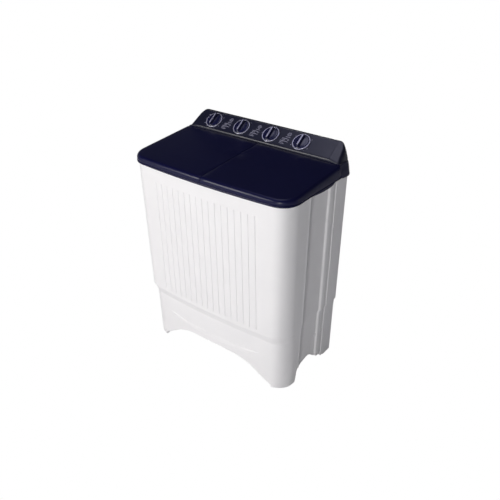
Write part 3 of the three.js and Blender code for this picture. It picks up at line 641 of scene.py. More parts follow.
def plinth_skin():
    """Wrap-round skirt: waist, crescent scoop, and the arches of its lower edge."""
    front_x = sorted({float(x) for x in range(-252, 253, 6)} | {-246.0, 246.0, -242.0, 242.0})
    side_y = sorted(set(SIDE_Y) | {y for y, _ in SIDE_ARCH if y > -98}, reverse=True)
    rear_x = [290, 275, 262, 250, 240, 228, 215, 205, 150, 75]
    stations = ring_stations(front_x, side_y, 14, rear_x)

    def settings(z):
        """(setback, side step) at height z: full below the waist, running out to the casing above it."""
        rise = min(max((z - PLINTH_STEP) / (PLINTH_TOP - PLINTH_STEP), 0), 1)
        return PLINTH_SETBACK + (1 - PLINTH_SETBACK) * rise, PLINTH_SIDE - rise

    low_steps = [0, 0.12, 0.3, 0.55, 0.8]
    scoop_steps = [1.0, 0.8, 0.6, 0.42, 0.27, 0.15, 0.06, 0.0]
    fixed = [172, 190, 215, 236, 240.5, 242.4, 243.4, 245.4, 249, 262, 276, 281, 282.6, PLINTH_TOP]

    def heights(station, x):
        low = plinth_edge(station, x)
        top, height = scoop(x) if station[0] == "front" else (166.0, 0.0)
        height = max(height, 4.0)
        base = top - height
        zs = [low + (base - low) * s for s in low_steps]
        zs += [top - height * s for s in scoop_steps] + [top + 0.7, top + 2.4] + fixed
        return zs

    count = len(low_steps) + len(scoop_steps) + 2 + len(fixed)

    def row_points(k, inset):
        out = []
        for station in stations:
            x0 = outline(60, [station], 0, PLINTH_SETBACK, PLINTH_SIDE)[0][0]
            z = heights(station, x0)[k]
            setback, side = settings(z)
            x, y, nx, ny = outline(z, [station], inset, setback, side)[0]
            depth = side_relief(station)
            if station[0] == "front":
                top, height = scoop(x)
                if height > 0.5 and z <= top + 0.01:
                    down = min(max((top - z) / height, 0), 1)
                    depth += SCOOP_DEPTH * min(height / 9, 1) * (1 - down) ** 1.25
            if not inset:
                depth += max(0, z - (PLINTH_TOP - 2)) * 0.6      # rounds the outer top edge
            out.append((x - nx * depth, y - ny * depth, z))
        return out

    shape = Shape()
    outside = [shape.row(row_points(k, 0)) for k in range(count)]
    inside = [shape.row(row_points(k, WALL)) for k in range(count)]
    for a, b in zip(outside, outside[1:]):
        shape.bridge(a, b)
    for a, b in zip(inside, inside[1:]):
        shape.bridge(b, a)
    shape.bridge(inside[0], outside[0])
    shape.bridge(outside[-1], inside[-1])
    return finish_piece(mesh_of("plinth_skirt", shape), WHITE, "frame", ["base_plinth"], 30,
                        outward=True)


def inner_stations(front_x):
    """Fewer stations than the skirt has, for the pieces that stand inside it."""
    return ring_stations(front_x, [185, 150, 124, 100, 78, 40, 0, -40, -68, -98], 10, [290, 150])


def plinth_ring(stations, z, inset):
    """Points round the plinth at height z, inset from the outside of its skirt."""
    return relieved(outline(z, stations, inset, PLINTH_SETBACK, PLINTH_SIDE), stations, z,
                    lambda s, x, h: side_relief(s))


def plinth_floor():
    """Moulded floor with a rim, let into the skirt."""
    stations = inner_stations([-252.0, -126.0, 0.0, 126.0, 252.0])
    shape, rim = Shape(), PLINTH_FLOOR + 14
    rows = shape.skin([plinth_ring(stations, z, inset) for z, inset in
                       ((PLINTH_FLOOR, 3.4), (rim, 3.4), (rim, 6), (PLINTH_FLOOR + WALL, 6))])
    shape.fan(rows[0], False)
    shape.fan(rows[-1], True)
    floor = mesh_of("plinth_floor", shape)
    hole = mesh_of("hole", cylinder(DRAIN_X, DRAIN_Y, 17.5, 40, PLINTH_FLOOR - 9, PLINTH_FLOOR + 9))
    boolean(floor, "DIFFERENCE", hole)
    return finish_piece(floor, WHITE, "frame", (), 30)


def plinth_leg(side, front):
    """One leg: two inner walls and its sole, closed in against the skirt."""
    y0, y1 = (-212, LEG_FRONT_Y) if front else (LEG_REAR_Y, 214)
    stations = inner_stations([-252.0, 0.0, 252.0])

    def core(low, high, inset):
        return Shape().capped([plinth_ring(stations, z, inset) for z in (low, high)])

    leg = mesh_of("leg_%s_%s" % ("front" if front else "rear", "right" if side > 0 else "left"),
                  core(PLINTH_BOTTOM, PLINTH_FLOOR - 0.4, 3.3))
    x = sorted((side * LEG_X, side * 420))
    boolean(leg, "INTERSECT", mesh_of("keep", block(x, (y0, y1), (0, 200))))
    hollow_x = sorted((side * (LEG_X + WALL), side * 420))
    hollow_y = (y0 - 20, y1 - WALL) if front else (y0 + WALL, y1 + 20)
    hollow = mesh_of("hollow", core(PLINTH_BOTTOM + WALL, PLINTH_FLOOR + 20, 6.3))
    boolean(hollow, "INTERSECT", mesh_of("keep", block(hollow_x, hollow_y, (0, 200))))
    boolean(leg, "DIFFERENCE", hollow)
    return finish_piece(leg, WHITE, "frame", (), 30)


# ---------------------------------------------------------------- top deck
SKIRT_EDGE = [(-150, 873.6), (-143, 874), (-79, 875), (-60, 874.2), (-45, 872), (-28, 870), (-11, 868),
              (6, 866.6), (24, 866),
              (42, 865.6), (60, 866), (72, 867.2), (81, 869), (88, 872.4), (95, 874.6), (118, 875),
              (140, 875), (148, 873.5),
              (155, 871), (179, 868), (190, 867.6)]


def skirt_edge(station):
    """The skirt's lower edge waves along the sides, round the hand holds."""
    if station[0] == "side":
        return table(SKIRT_EDGE, station[2])
    if station[0] == "rear_corner":
        return 867.6 + (1 - station[2]) * 3.4
    if station[0] == "front_corner":
        return 873.6 - 2.6 * soft_step(0, 0.5, station[2])
    return 871.0


def hood_step(z):
    """How far the sides of the hood have come in at height z."""
    return SIDE_LEAN * max(0.0, z - DECK_TOP)


def deck_ring(stations, z, inset, floor=None):
    """Points round the deck at z, or at floor(station)."""
    return [(x, y, z if floor is None else floor(s)) for (x, y, _, _), s in
            zip(outline(z, stations, inset, 0, hood_step(z), 0), stations)]


def deck_stations():
    """Stations round the deck, close together where its edge waves."""
    side_y = sorted({y for y, _ in SKIRT_EDGE if -98 < y < 190} | {-90, 100, 110, 130, 165}, reverse=True)
    return ring_stations([float(x) for x in range(-252, 253, 28)], side_y, 20, [290, 200, 100])


def hinge_bar(radius, segments, x=(-500, 500)):
    """A round bar on the line of the hinges."""
    bar = cylinder(0, 0, radius, segments, *x)
    return mesh_of("hinge_bar", Shape().merge(bar, lambda p: (p[2], HINGE_Y + p[0], HINGE_Z + p[1])))


def top_deck():
    """Deck and its skirt, two mouths with collars, and the raised hood that carries the console."""
    stations = deck_stations()
    shape = Shape()
    out = -OVERHANG
    rows = [shape.row(deck_ring(stations, 871, out + 0.9, skirt_edge)),
            shape.row(deck_ring(stations, 872, out, lambda s: skirt_edge(s) + 1.2))]
    for z, i in ((876, 0), (877.2, 0.35), (878.6, 1.4), (879.6, 2.9), (DECK_TOP, 4.6)):
        rows.append(shape.row(deck_ring(stations, z, out + i)))
    for a, b in zip(rows, rows[1:]):
        shape.bridge(a, b)
    shape.fan(rows[-1], True)
    inner = [shape.row(deck_ring(stations, 871, out + 3.4, skirt_edge)),
             shape.row(deck_ring(stations, 875.3, out + WALL + 0.4))]
    shape.bridge(inner[1], inner[0])
    shape.fan(inner[1], False)
    shape.bridge(inner[0], rows[0])
    deck = mesh_of("top_deck_moulding", shape)
    levels = ((878, 1.2), (900, 0), (921, 0), (924, 0.5), (925.4, 1.4), (SHOULDER, 3))
    hood = mesh_of("hood", Shape().capped([deck_ring(stations, z, out + inset) for z, inset in levels]))
    boolean(hood, "INTERSECT", mesh_of("behind", block((-500, 500), (SHOULDER_Y, 400), (870, 940))))
    (left, right), (front, rear), corner = WASH_MOUTH
    collar = mesh_of("collar", prism(rounded_rectangle((left - WALL, right + WALL),
                                                       (front - WALL, rear + WALL), corner + WALL,
                                                       14), COLLAR_LOW, COLLAR_HIGH))
    ring = mesh_of("ring", cylinder(SPIN_X, SPIN_Y, SPIN_MOUTH + WALL, 96, COLLAR_LOW, COLLAR_HIGH))
    for rim in (collar, ring):
        boolean(rim, "DIFFERENCE", hinge_bar(HEEL_SWING + HEEL_GAP, 96))
    ears = []
    for x in EARS:
        ears.append(mesh_of("ear", block((x, x + EAR_WIDTH), (HINGE_Y - HINGE_EAR, HINGE_Y + HINGE_EAR),
                                         (878, HINGE_Z))))
        ears.append(hinge_bar(HINGE_EAR, 32, (x, x + EAR_WIDTH)))
    cove = mesh_of("cove", block((-384, 384), (HINGE_Y, SHOULDER_Y + 0.5), (878, 891)))
    boolean(cove, "DIFFERENCE", hinge_bar(HEEL_SWING + HEEL_GAP, 96))
    boolean(deck, "UNION", hood, collar, ring, cove, *ears)
    inside = mesh_of("inside", Shape().capped([deck_ring(stations, z, out + WALL + 0.4) for z in
                                               (872, DECK_TOP, SHOULDER - WALL)]))
    boolean(inside, "INTERSECT", mesh_of("behind", block((-500, 500), (SHOULDER_Y + WALL, 400), (860, 940))))
    mouth = mesh_of("mouth", prism(rounded_rectangle((left, right), (front, rear), corner, 14), 860, 900))
    spin = mesh_of("spin", cylinder(SPIN_X, SPIN_Y, SPIN_MOUTH, 96, 860, 900))
    rod = hinge_bar(HINGE_HOLE, 20)
    slot = mesh_of("slot", block((-320, 320), (168, 205), (900, 950)))
    inlet = mesh_of("inlet", Shape().merge(cylinder(0, 0, 13.5, 40, -260, -200),
                                           lambda p: (p[0] - 300, -p[2], p[1] + 896)))
    boolean(deck, "DIFFERENCE", inside, mouth, spin, rod, slot, inlet)
    return finish_piece(deck, NAVY, "frame", ["top_deck"], 33)


# ---------------------------------------------------------------- lids
def lid_height(x, y):
    """The lids' crowned top over (x, y)."""
    return 898.5 + 0.075 * (y - FRONT) + 5 * (1 - (x / HALF_WIDTH) ** 2)


LID_FILLET = 14


def lid_dome(inset, drop, bottom):
    """Closed dome over the whole deck: a thin lip, a rounded edge and a crowned top."""
    stations = deck_stations()
    shape = Shape()
    edge = 1 - OVERHANG + inset
    radius = LID_FILLET - inset
    rows = [shape.row([(x, y, bottom) for x, y, _, _ in outline(LID_BOTTOM, stations, edge, 0, 0, 0)])]
    steps = 9
    for i in range(steps + 1):
        a = math.radians(90 * i / steps)
        inwards, down = radius * (1 - math.cos(a)), radius * (1 - math.sin(a))
        rows.append(shape.row([(x, y, max(lid_height(x, y) - drop - down, bottom + 0.5)) for x, y, _, _ in
                               outline(LID_BOTTOM, stations, edge + inwards, 0, 0, 0)]))
    last = [shape.points[i] for i in rows[-1]]
    for scale in (0.93, 0.82, 0.68, 0.52, 0.35, 0.17):
        points = [(x * scale, (y - 10) * scale + 10) for x, y, _ in last]
        rows.append(shape.row([(x, y, lid_height(x, y) - drop) for x, y in points]))
    for a, b in zip(rows, rows[1:]):
        shape.bridge(a, b)
    shape.fan(rows[-1], True)
    shape.faces.append(tuple(rows[0]))
    return shape


def lid(name, side):
    """One lid: a crowned shell with a rear wall and two hinge lugs."""
    x = (-500, -1) if side < 0 else (1, 500)
    dome = mesh_of(name + "_moulding", lid_dome(0, 0, LID_BOTTOM))
    boolean(dome, "INTERSECT", mesh_of("keep", block(x, (-400, LID_REAR), (800, 1000))))
    hollow = mesh_of("hollow", lid_dome(WALL, WALL, LID_BOTTOM - 3))
    boolean(hollow, "INTERSECT", mesh_of("keep", block((x[0] + WALL, x[1] - WALL), (-400, LID_REAR - WALL),
                                                       (800, 1000))))
    heel = mesh_of("heel", block((-500, 500), (HINGE_Y, 400), (800, HINGE_Z)))
    boolean(heel, "DIFFERENCE", hinge_bar(HEEL_SWING, 96))
    notches = [mesh_of("notch", block((at - 1.5, at + 7.5), (HINGE_Y + 8, 400),
                                      (800, HINGE_Z + 7))) for at in EARS]
    boolean(dome, "DIFFERENCE", hollow, heel, *notches)
    lugs = []
    for at in (-380, -14) if side < 0 else (8, 374):
        stub = mesh_of("lug", block((at, at + EAR_WIDTH), (HINGE_Y - LUG_HALF, HINGE_Y + LUG_HALF),
                                    (HINGE_Z - 5, 990)))
        lugs.append(boolean(stub, "INTERSECT", mesh_of("under", lid_dome(0, 1, LID_BOTTOM))))
    ribs = []
    for i in range(1, 5):
        at = side * (i * 74 + 4)
        rib = mesh_of("rib", block((at - 1, at + 1), (-190, 95), (LID_BOTTOM + 8, 990)))
        ribs.append(boolean(rib, "INTERSECT", mesh_of("under", lid_dome(1, 1, LID_BOTTOM + 8))))
    boolean(dome, "UNION", *lugs, *ribs)
    boolean(dome, "DIFFERENCE", hinge_bar(HINGE_HOLE, 20))
    bevel(dome, 0.7, 2, 62)
    return finish_piece(dome, NAVY, name, [name], 33)


# ---------------------------------------------------------------- console
RIDGE_RADIUS, PLAN_CORNER = 8, REAR_CORNER + OVERHANG
FASCIA_HALF, FASCIA_LOW, FASCIA_HIGH = 330, -41, 44
FASCIA_SEAT = 1.5
REAR_WINDOW = (300, 934, 978)


def slope_height(y):
    """The console's section: small front edge, straight slope, rounded ridge that turns down to the rear."""
    ridge_y = CONSOLE_REAR - RIDGE_RADIUS
    touch = ridge_y - RIDGE_RADIUS * math.sin(SLOPE)
    line = lambda v: SLOPE_Z + (v - SLOPE_Y) * math.tan(SLOPE)
    if y > touch:
        middle = line(touch) - RIDGE_RADIUS * math.cos(SLOPE)
        return middle + math.sqrt(max(RIDGE_RADIUS ** 2 - (y - ridge_y) ** 2, 0))
    return line(y) - 2.6 * max(0.0, 1 - (y - CONSOLE_FRONT) / 3) ** 2


def soft_min(a, b, blend):
    """The smaller of a and b, rounded over where they are nearly equal."""
    share = max(blend - abs(a - b), 0) / blend
    return min(a, b) - share * share * blend / 4


def plan_corner(y):
    """How far the side has turned in towards the rear corner at y."""
    past = max(0.0, y - (CONSOLE_REAR - PLAN_CORNER))
    return PLAN_CORNER - math.sqrt(max(PLAN_CORNER ** 2 - past ** 2, 0))


def console_height(x, y):
    """Top of the console over (x, y): slope, gentle end facets, rounded ends that run into the sides."""
    roof = slope_height(y) - END_FALL * max(0.0, abs(x) - CREASE)
    side = DECK_TOP + (HALF_WIDTH + OVERHANG - abs(x) - plan_corner(min(y, CONSOLE_REAR - 1))) / SIDE_LEAN
    return max(soft_min(roof, side, 46), CONSOLE_BOTTOM)


def console_housing():
    """Console moulding: one sloped face, bent down at its ends, with seats for fascia and rear cover."""
    seat_y = [SLOPE_Y + s * math.cos(SLOPE) for s in (FASCIA_LOW, FASCIA_HIGH)]
    ys = [142, 142.25, 142.7, 143.3, 144, 145, seat_y[0] - 0.25, seat_y[0] + 0.25, 150, 158, 168, 178, 188,
          198, 206,
          seat_y[1] - 0.25, seat_y[1] + 0.25]
    turn = [CONSOLE_REAR - RIDGE_RADIUS + RIDGE_RADIUS * math.sin(math.radians(a)) for a in
            (-30, -20, -8, 6, 20, 34, 48, 60, 72, 82, 90)]
    tracks = [(142, s) for s in (0.0, 0.5)] + [(y, 1.0) for y in ys + turn]
    window_z = REAR_WINDOW[1:]
    crown = slope_height(CONSOLE_REAR) - CONSOLE_BOTTOM
    tracks += [(CONSOLE_REAR, (z - CONSOLE_BOTTOM) / crown) for z in
               (window_z[1] + 0.3, window_z[1] - 0.3, 956, window_z[0] + 0.3, window_z[0] - 0.3)]
    tracks += [(CONSOLE_REAR, 0.0)]
    half_xs = [0, 60, 120, 180, 240, 280, 299.7, 300.3, 315, 329.75, 330.25, 333, 334.6, 335.4, 337, 341,
               346, 350, 353.5,
               356.5, 359, 361.5, 364, 366.5, 369, 371.5, 374, 376.5, 379, 381, 382]
    xs = [-x for x in half_xs[:0:-1]] + half_xs
    foot = HALF_WIDTH + OVERHANG - SIDE_LEAN * (CONSOLE_BOTTOM - DECK_TOP)
    shape = Shape()
    rows = []
    for y, share in tracks:
        row = []
        for x in xs:
            width = foot - plan_corner(y) if abs(x) > 200 else foot
            px = math.copysign(200 + (abs(x) - 200) * (width - 200) / (382 - 200), x) if abs(x) > 200 else x
            top = console_height(px, y)
            z = CONSOLE_BOTTOM + share * (top - CONSOLE_BOTTOM)
            py = y
            if abs(x) < FASCIA_HALF and seat_y[0] < y < seat_y[1] and share == 1.0:
                z -= FASCIA_SEAT
            if share < 1 and y == CONSOLE_REAR and abs(x) < 300 and window_z[0] < z < window_z[1]:
                py -= 3
            row.append((px, py, z))
        rows.append(shape.row(row))
    for a, b in zip(rows, rows[1:]):
        shape.bridge(b, a, closed=False)
    housing = mesh_of("console_moulding", shape)
    modify(housing, "SOLIDIFY", thickness=2.6 * MM, offset=-1.0, use_even_offset=False)
    return finish_piece(housing, SATIN_NAVY_PAINTED_SHEEN, "frame", ["console_housing"], 38, outward=True)


def console_fascia():
    """Thin printed panel let into the slope, bored for the four spindles."""
    outline_points = rounded_rectangle((-FASCIA_HALF + 0.4, FASCIA_HALF - 0.4),
                                       (FASCIA_LOW + 0.5, FASCIA_HIGH - 0.5), 2, 4)
    panel = mesh_of("fascia_panel", prism(outline_points, -1.35, -0.1))
    for x in KNOBS.values():
        boolean(panel, "DIFFERENCE", mesh_of("hole", cylinder(x, 0, 5, 32, -5, 5)))
    bevel(panel, 0.25, 1, 60)
    to_slope(panel)
    return finish_piece(panel, SATIN_NAVY_PAINTED_SHEEN, "frame", ["console_fascia"], 40)


def rear_cover():
    """Flat cover let into the back of the console."""
    half, low, high = REAR_WINDOW
    cover = mesh_of("console_back_cover", block((-half + 1, half - 1),
                                                (CONSOLE_REAR - 2.9, CONSOLE_REAR - 0.6),
                                                (low + 1, high - 1)))
    bevel(cover, 0.5, 2, 60)
    return finish_piece(cover, SATIN_NAVY_PAINTED_SHEEN, "frame", ["console_rear_cover"], 40)


def to_slope(obj, x=0):
    """Moves a mesh from the console's own frame to the machine's, at station x."""
    for vertex in obj.data.vertices:
        px, py, pz = vertex.co / MM
        vertex.co = Vector(on_slope((px + x, py, pz))) * MM
    return obj


def sloped(shape, x):
    """A piece made in a knob's own frame, moved to its station at x."""
    return Shape().merge(shape, lambda p: on_slope((p[0] + x, p[1], p[2])))


def knob_bezel(name, x):
    """Plated ring round one knob."""
    profile = [(33.4, 0.3), (37.6, 0.3), (38.0, 0.7), (38.0, 3.4), (37.8, 4.1), (37.3, 4.5), (36.2, 4.6),
               (34.6, 4.6),
               (33.9, 4.3), (33.5, 3.6), (33.4, 2.4)]
    ring = mesh_of(name + "_ring", sloped(turned(0, 0, profile, 96, closed=True), x))
    return finish_piece(ring, CHROME, "frame", [name + "_bezel"], 50, outward=True)


BAR_LEVELS = [(7.4, 29.9, 6.2), (6.9, 29.9, 9), (6.5, 29.6, 12), (6.1, 29.2, 15), (5.8, 28.8, 17.2),
              (5.3, 28.2, 18.4),
              (4.9, 27.6, 19.0), (4.3, 27.0, 19.2)]


def knob(name, x):
    """Disc with a finger bar across it, and the spindle socket behind."""
    disc = turned(0, 0, [(0, 0.6), (32.2, 0.6), (32.8, 1.2), (32.8, 5.2), (32.5, 6.2), (31.6, 6.9),
                         (29.6, 7.3), (24, 7.5),
                         (0, 7.9)], 96)
    body = mesh_of(name + "_knob_moulding", disc)
    handle = Shape().capped([[(px, py, z) for px, py in
                              rounded_rectangle((-w, w), (-l, l), min(4.5, w * 0.95), 6)[::-1]]
                             for w, l, z in BAR_LEVELS])
    spindle = cylinder(0, 0, 4, 32, -18, 2)
    boolean(body, "UNION", mesh_of("handle", handle), mesh_of("spindle", spindle))
    seat = prism(rounded_rectangle((-3.2, 3.2), (-25.4, 26.7), 3.0, 6), 18.4, 21)
    boolean(body, "DIFFERENCE", mesh_of("seat", seat))
    bevel(body, 0.35, 2, 55)
    to_slope(body, x)
    return finish_piece(body, KNOB_NAVY, name + "_knob", [name + "_knob"], 35)


def knob_pointer(name, x):
    """Plated pointer strip let into the crest of the bar."""
    rings = []
    for inset, z in ((0.0, 18.5), (0.0, 19.9), (0.35, 20.3), (1.0, 20.45)):
        ring = rounded_rectangle((-3.1 + inset, 3.1 - inset), (-25.3 + inset, 26.6 - inset),
                                 2.9 - inset * 0.9, 6)[::-1]
        rings.append([(px, py, z) for px, py in ring])
    strip = mesh_of(name + "_pointer", sloped(Shape().capped(rings), x))
    return finish_piece(strip, CHROME, name + "_knob", [name + "_knob_insert"], 40)


# ---------------------------------------------------------------- Geometry Nodes for what repeats
def repeated(name, unit, places, material):
    """Copies of a small shape at places [(x, y, z, turn about z in radians, scale)], by a node tree."""
    cell = mesh_of(name + "_unit", unit)
    points = bpy.data.meshes.new(name)
    points.from_pydata([Vector(p[:3]) * MM for p in places], [], [])
    for key, at in (("turn", 3), ("size", 4)):
        attribute = points.attributes.new(key, "FLOAT", "POINT")
        attribute.data.foreach_set("value", [p[at] for p in places])
    host = linked(name, points)
    tree = bpy.data.node_groups.new(name + "_layout", "GeometryNodeTree")
    face = tree.interface
    face.new_socket("Points", in_out="INPUT", socket_type="NodeSocketGeometry")
    face.new_socket("Unit", in_out="INPUT", socket_type="NodeSocketObject")
    face.new_socket("Scale", in_out="INPUT", socket_type="NodeSocketFloat")
    face.new_socket("Finish", in_out="INPUT", socket_type="NodeSocketMaterial")
    face.new_socket("Pieces", in_out="OUTPUT", socket_type="NodeSocketGeometry")
    given = add(tree, "NodeGroupInput")
    info = add(tree, "GeometryNodeObjectInfo", None, Object=given.outputs["Unit"])
    turn = add(tree, "GeometryNodeInputNamedAttribute", {"data_type": "FLOAT"}, Name="turn")
    size = add(tree, "GeometryNodeInputNamedAttribute", {"data_type": "FLOAT"}, Name="size")
    spin = add(tree, "ShaderNodeCombineXYZ", None, Z=turn.outputs[0])
    grow = add(tree, "ShaderNodeMath", {"operation": "MULTIPLY"}, _0=size.outputs[0],
               _1=given.outputs["Scale"])
    laid = add(tree, "GeometryNodeInstanceOnPoints", None, Points=given.outputs["Points"],
               Instance=info.outputs["Geometry"],
               Rotation=spin.outputs[0], Scale=grow.outputs[0])
    real = add(tree, "GeometryNodeRealizeInstances", None, Geometry=laid.outputs[0])
    painted = add(tree, "GeometryNodeSetMaterial", None, Geometry=real.outputs[0],
                  Material=given.outputs["Finish"])
    add(tree, "NodeGroupOutput", None, Pieces=painted.outputs[0])
    layout = host.modifiers.new("layout", "NODES")
    layout.node_group = tree
    for item in face.items_tree:
        if item.in_out == "INPUT" and item.name in ("Unit", "Scale", "Finish"):
            layout[item.identifier] = {"Unit": cell, "Scale": 1.0, "Finish": material}[item.name]
    settle(host)
    bpy.data.objects.remove(cell)
    return host


def repeat(name, unit, places, material, body, stands_for=(), smooth=35):
    """Repeated copies as one finished piece."""
    return finish_piece(repeated(name, unit, places, material), material, body, stands_for, smooth)


def pan_screw(radius=4.0, height=2.2):
    """Pan-head screw with a cross recess, its seat at z 0."""
    shape = turned(0, 0, [(0, -1), (radius, -1), (radius, height * 0.35), (radius * 0.86, height * 0.75),
                          (radius * 0.55, height), (0, height * 1.05)], 20)
    for flip in (0, 1):
        bar = block((-radius * 0.5, radius * 0.5), (-0.45, 0.45), (height * 0.75, height * 1.12))
        shape.merge(bar, lambda p: (p[1], p[0], p[2]) if flip else p)
    return shape


def to_rear(shape):
    """A shape built on z 0 facing up, turned to face the rear."""
    return Shape().merge(shape, lambda p: (-p[0], p[2], p[1]))


def rear_screws():
    """Screws of the rear panel and of the console's back cover."""
    places = [(x, REAR + 2.7, z, 0.0, 1.0) for x in (-306, -100, 100, 306) for z in (324, 796)]
    places += [(x, REAR + 2.7, z, 0.0, 1.0) for x in (-306, 306) for z in (480, 640)]
    places += [(x, CONSOLE_REAR - 1.6, 956, 0.0, 0.7) for x in (-285, -95, 95, 285)]
    return repeat("back_screws", to_rear(pan_screw(3.6, 1.6)), places, STEEL, "frame")


def printed_scales():
    """Pad-printed ticks round each knob. Bars and rings between the knobs are in setting_marks."""
    tick = block((-0.55, 0.55), (41.5, 45.5), (0.0, PRINT))
    places = []
    for name, x in KNOBS.items():
        low, high, count = {"wash_timer": (0, 300, 11), "wash_selector": (-45, 45, 3),
                            "drain_selector": (-90, 0, 2),
                            "spin_timer": (0, 300, 6)}[name]
        for i in range(count):
            angle = math.radians(low + (high - low) * i / (count - 1))
            if math.cos(angle) * 45 < 43 and -math.cos(angle) * 45 < 40.5:
                places.append((x, 0, 0, -angle, 1.0))
    marks = to_slope(repeated("dial_ticks", tick, places, INK))
    return finish_piece(marks, INK, "frame")


def setting_marks():
    """Groups of printed bars and rings between the knobs, standing for no words."""
    shape = Shape()

    def bar(x, y, length, width=1.5):
        shape.merge(block((x - length / 2, x + length / 2), (y - width / 2, y + width / 2), (0.0, PRINT)))

    def ring(x, y, r):
        shape.merge(turned(x, y, [(r - 1.1, 0.0), (r, 0.0), (r, PRINT), (r - 1.1, PRINT)], 28, closed=True))

    for middle in (-192, -41.5, 108.5):
        ring(middle + 6, 22, 8.5)
        ring(middle + 6, 22, 4.4)
        bar(middle + 6, 8, 22)
        bar(middle - 4, -1, 26, 2.0)
        bar(middle - 9, -7, 16)
        ring(middle + 14, -5, 3.6)
        bar(middle - 6, -14, 30, 2.0)
        bar(middle - 12, -20.5, 18)
        bar(middle - 8, -27, 24)
        bar(middle + 13, -15, 8)
    marks = to_slope(mesh_of("setting_marks", shape))
    return finish_piece(marks, INK, "frame")


def dial_numbers():
    """Minutes printed round the two timers."""
    made = []
    for name, numbers in (("wash_timer", (3, 6, 9, 12, 15)), ("spin_timer", (1, 2, 3, 4, 5))):
        for i, number in enumerate(numbers):
            angle = math.radians(60 * (i + 1))
            x, y = KNOBS[name] + 44.5 * math.sin(angle), 44.5 * math.cos(angle)
            if abs(y) > 36:
                continue
            curve = bpy.data.curves.new("number", "FONT")
            curve.body, curve.size, curve.extrude = str(number), 6.5, 0.08
            curve.align_x, curve.align_y = "CENTER", "CENTER"
            text = linked("number", curve)
            bpy.context.view_layer.update()
            mesh = bpy.data.meshes.new_from_object(text.evaluated_get(bpy.context.evaluated_depsgraph_get()))
            bpy.data.objects.remove(text)
            out = Shape()
            out.points = [(v.co.x + x, v.co.y + y, v.co.z + 0.08) for v in mesh.vertices]
            out.faces = [tuple(p.vertices) for p in mesh.polygons]
            made.append(out)
    shape = Shape()
    for part in made:
        shape.merge(part, on_slope)
    numbers = mesh_of("dial_numbers", shape)
    return finish_piece(numbers, INK, "frame", (), 30, outward=True)


# ---------------------------------------------------------------- inside and behind the casing
def facing_rear(shape, x, z):
    """An upright shape laid so that its z runs to the rear, through (x, z)."""
    return Shape().merge(shape, lambda p: (x + p[0], p[2], z - p[1]))


def rear_louvres():
    """Pressed hoods over the slots of the rear panel."""
    rings = []
    for x, fall in ((-192, 1.0), (-186, 0.25), (-178, 0.0), (178, 0.0), (186, 0.25), (192, 1.0)):
        depth = 4.6 * (1 - fall)
        rings.append([(x, 0, 0), (x, 0, 10.5), (x, 1.4 + depth * 0.2, 10.5), (x, 1.4 + depth, 3.2),
                      (x, 1.4 + depth, 1.0), (x, 1.0 + depth * 0.8, 0)])
    places = [(0, REAR + 2.0, 433 + 22 * i, 0.0, 1.0) for i in range(9)]
    louvres = repeated("back_louvres", Shape().capped(rings), places, WHITE)
    return finish_piece(louvres, WHITE, "frame", (), 25, outward=True)


def wash_tub():
    """Deep tub with rounded corners, a filleted floor and its rolled flange."""
    x, y, bottom, top, corner, draft = (-366, -6), (-196, 128), 440, 875, 60, 12

    def ring(inset, z):
        low = draft * (top - z) / (top - bottom)
        return [(px, py, z) for px, py in rounded_rectangle(
            (x[0] + inset + low, x[1] - inset), (y[0] + inset + low, y[1] - inset), max(corner - inset, 6),
                                                            12)[::-1]]

    shape, fillet = Shape(), 24
    levels = [(fillet * (1 - math.sin(a)), bottom + fillet * (1 - math.cos(a))) for a in
              (math.radians(90 * i / 8) for i in range(9))]
    outer = [ring(inset, z) for inset, z in levels] + [ring(0, 700), ring(0, top - 3), ring(-6, top - 3),
                                                       ring(-6, top)]
    inner = [ring(3, top), ring(3, 700)] + [ring(inset + 3, z + 3 - 3 * (z - bottom) / fillet) for inset,
                                            z in levels[::-1]]
    rows = shape.skin(outer + inner)
    shape.fan(rows[0], False)
    shape.fan(rows[-1], True)
    tub = mesh_of("wash_tub_moulding", shape)
    neck = mesh_of("neck", cylinder(PULSATOR_X, PULSATOR_Y, 14.5, 32, 430, 460))
    boolean(tub, "DIFFERENCE", neck)
    return finish_piece(tub, TUB_WHITE, "frame", ["wash_tub"], 40)


def tub_ribs():
    """Upright rubbing ribs on the front wall of the wash tub."""
    rings = []
    for z, r in ((0, 0.6), (3, 2.6), (10, 3.4), (250, 3.4), (257, 2.6), (260, 0.6)):
        lean = -0.0276 * z
        rings.append([(r * math.cos(a), lean + r * 0.8 * math.sin(a), z) for a in
                      (math.radians(-40 * i) for i in range(9))])
    places = [(-300 + 38 * i, -182.2, 500, 0.0, 1.0) for i in range(7)]
    ribs = repeated("tub_rubbing_ribs", Shape().capped(rings), places, TUB_WHITE)
    return finish_piece(ribs, TUB_WHITE, "frame", (), 50, outward=True)


def filter_channel():
    """Cover of the overflow channel, slotted so that water passes and cloth doesn't."""
    cover = mesh_of("overflow_channel_cover", block((-228, -144), (108, 124.4), (452, 812)))
    boolean(cover, "DIFFERENCE", mesh_of("back", block((-225.4, -146.6), (110.6, 130), (454.6, 809.4))))
    bevel(cover, 1.6, 3, 50)
    slots = Shape()
    for row in range(13):
        for column in (-205, -186, -167):
            slots.merge(block((column - 6, column + 6), (100, 113), (478 + 24 * row, 482 + 24 * row)))
    boolean(cover, "DIFFERENCE", mesh_of("slots", slots))
    return finish_piece(cover, TUB_WHITE, "frame", ["filter_channel_cover"], 35)


def lint_filter():
    """Blue frame of the lint filter."""
    rim = mesh_of("lint_filter_frame", block((-294, -236), (104, 124.4), (640, 800)))
    boolean(rim, "DIFFERENCE", mesh_of("back", block((-291, -239), (107, 130), (643, 797))),
            mesh_of("window", block((-287, -243), (100, 110), (652, 788))))
    bevel(rim, 1.0, 2, 50)
    return finish_piece(rim, BLUE, "frame", ["lint_filter"], 35)


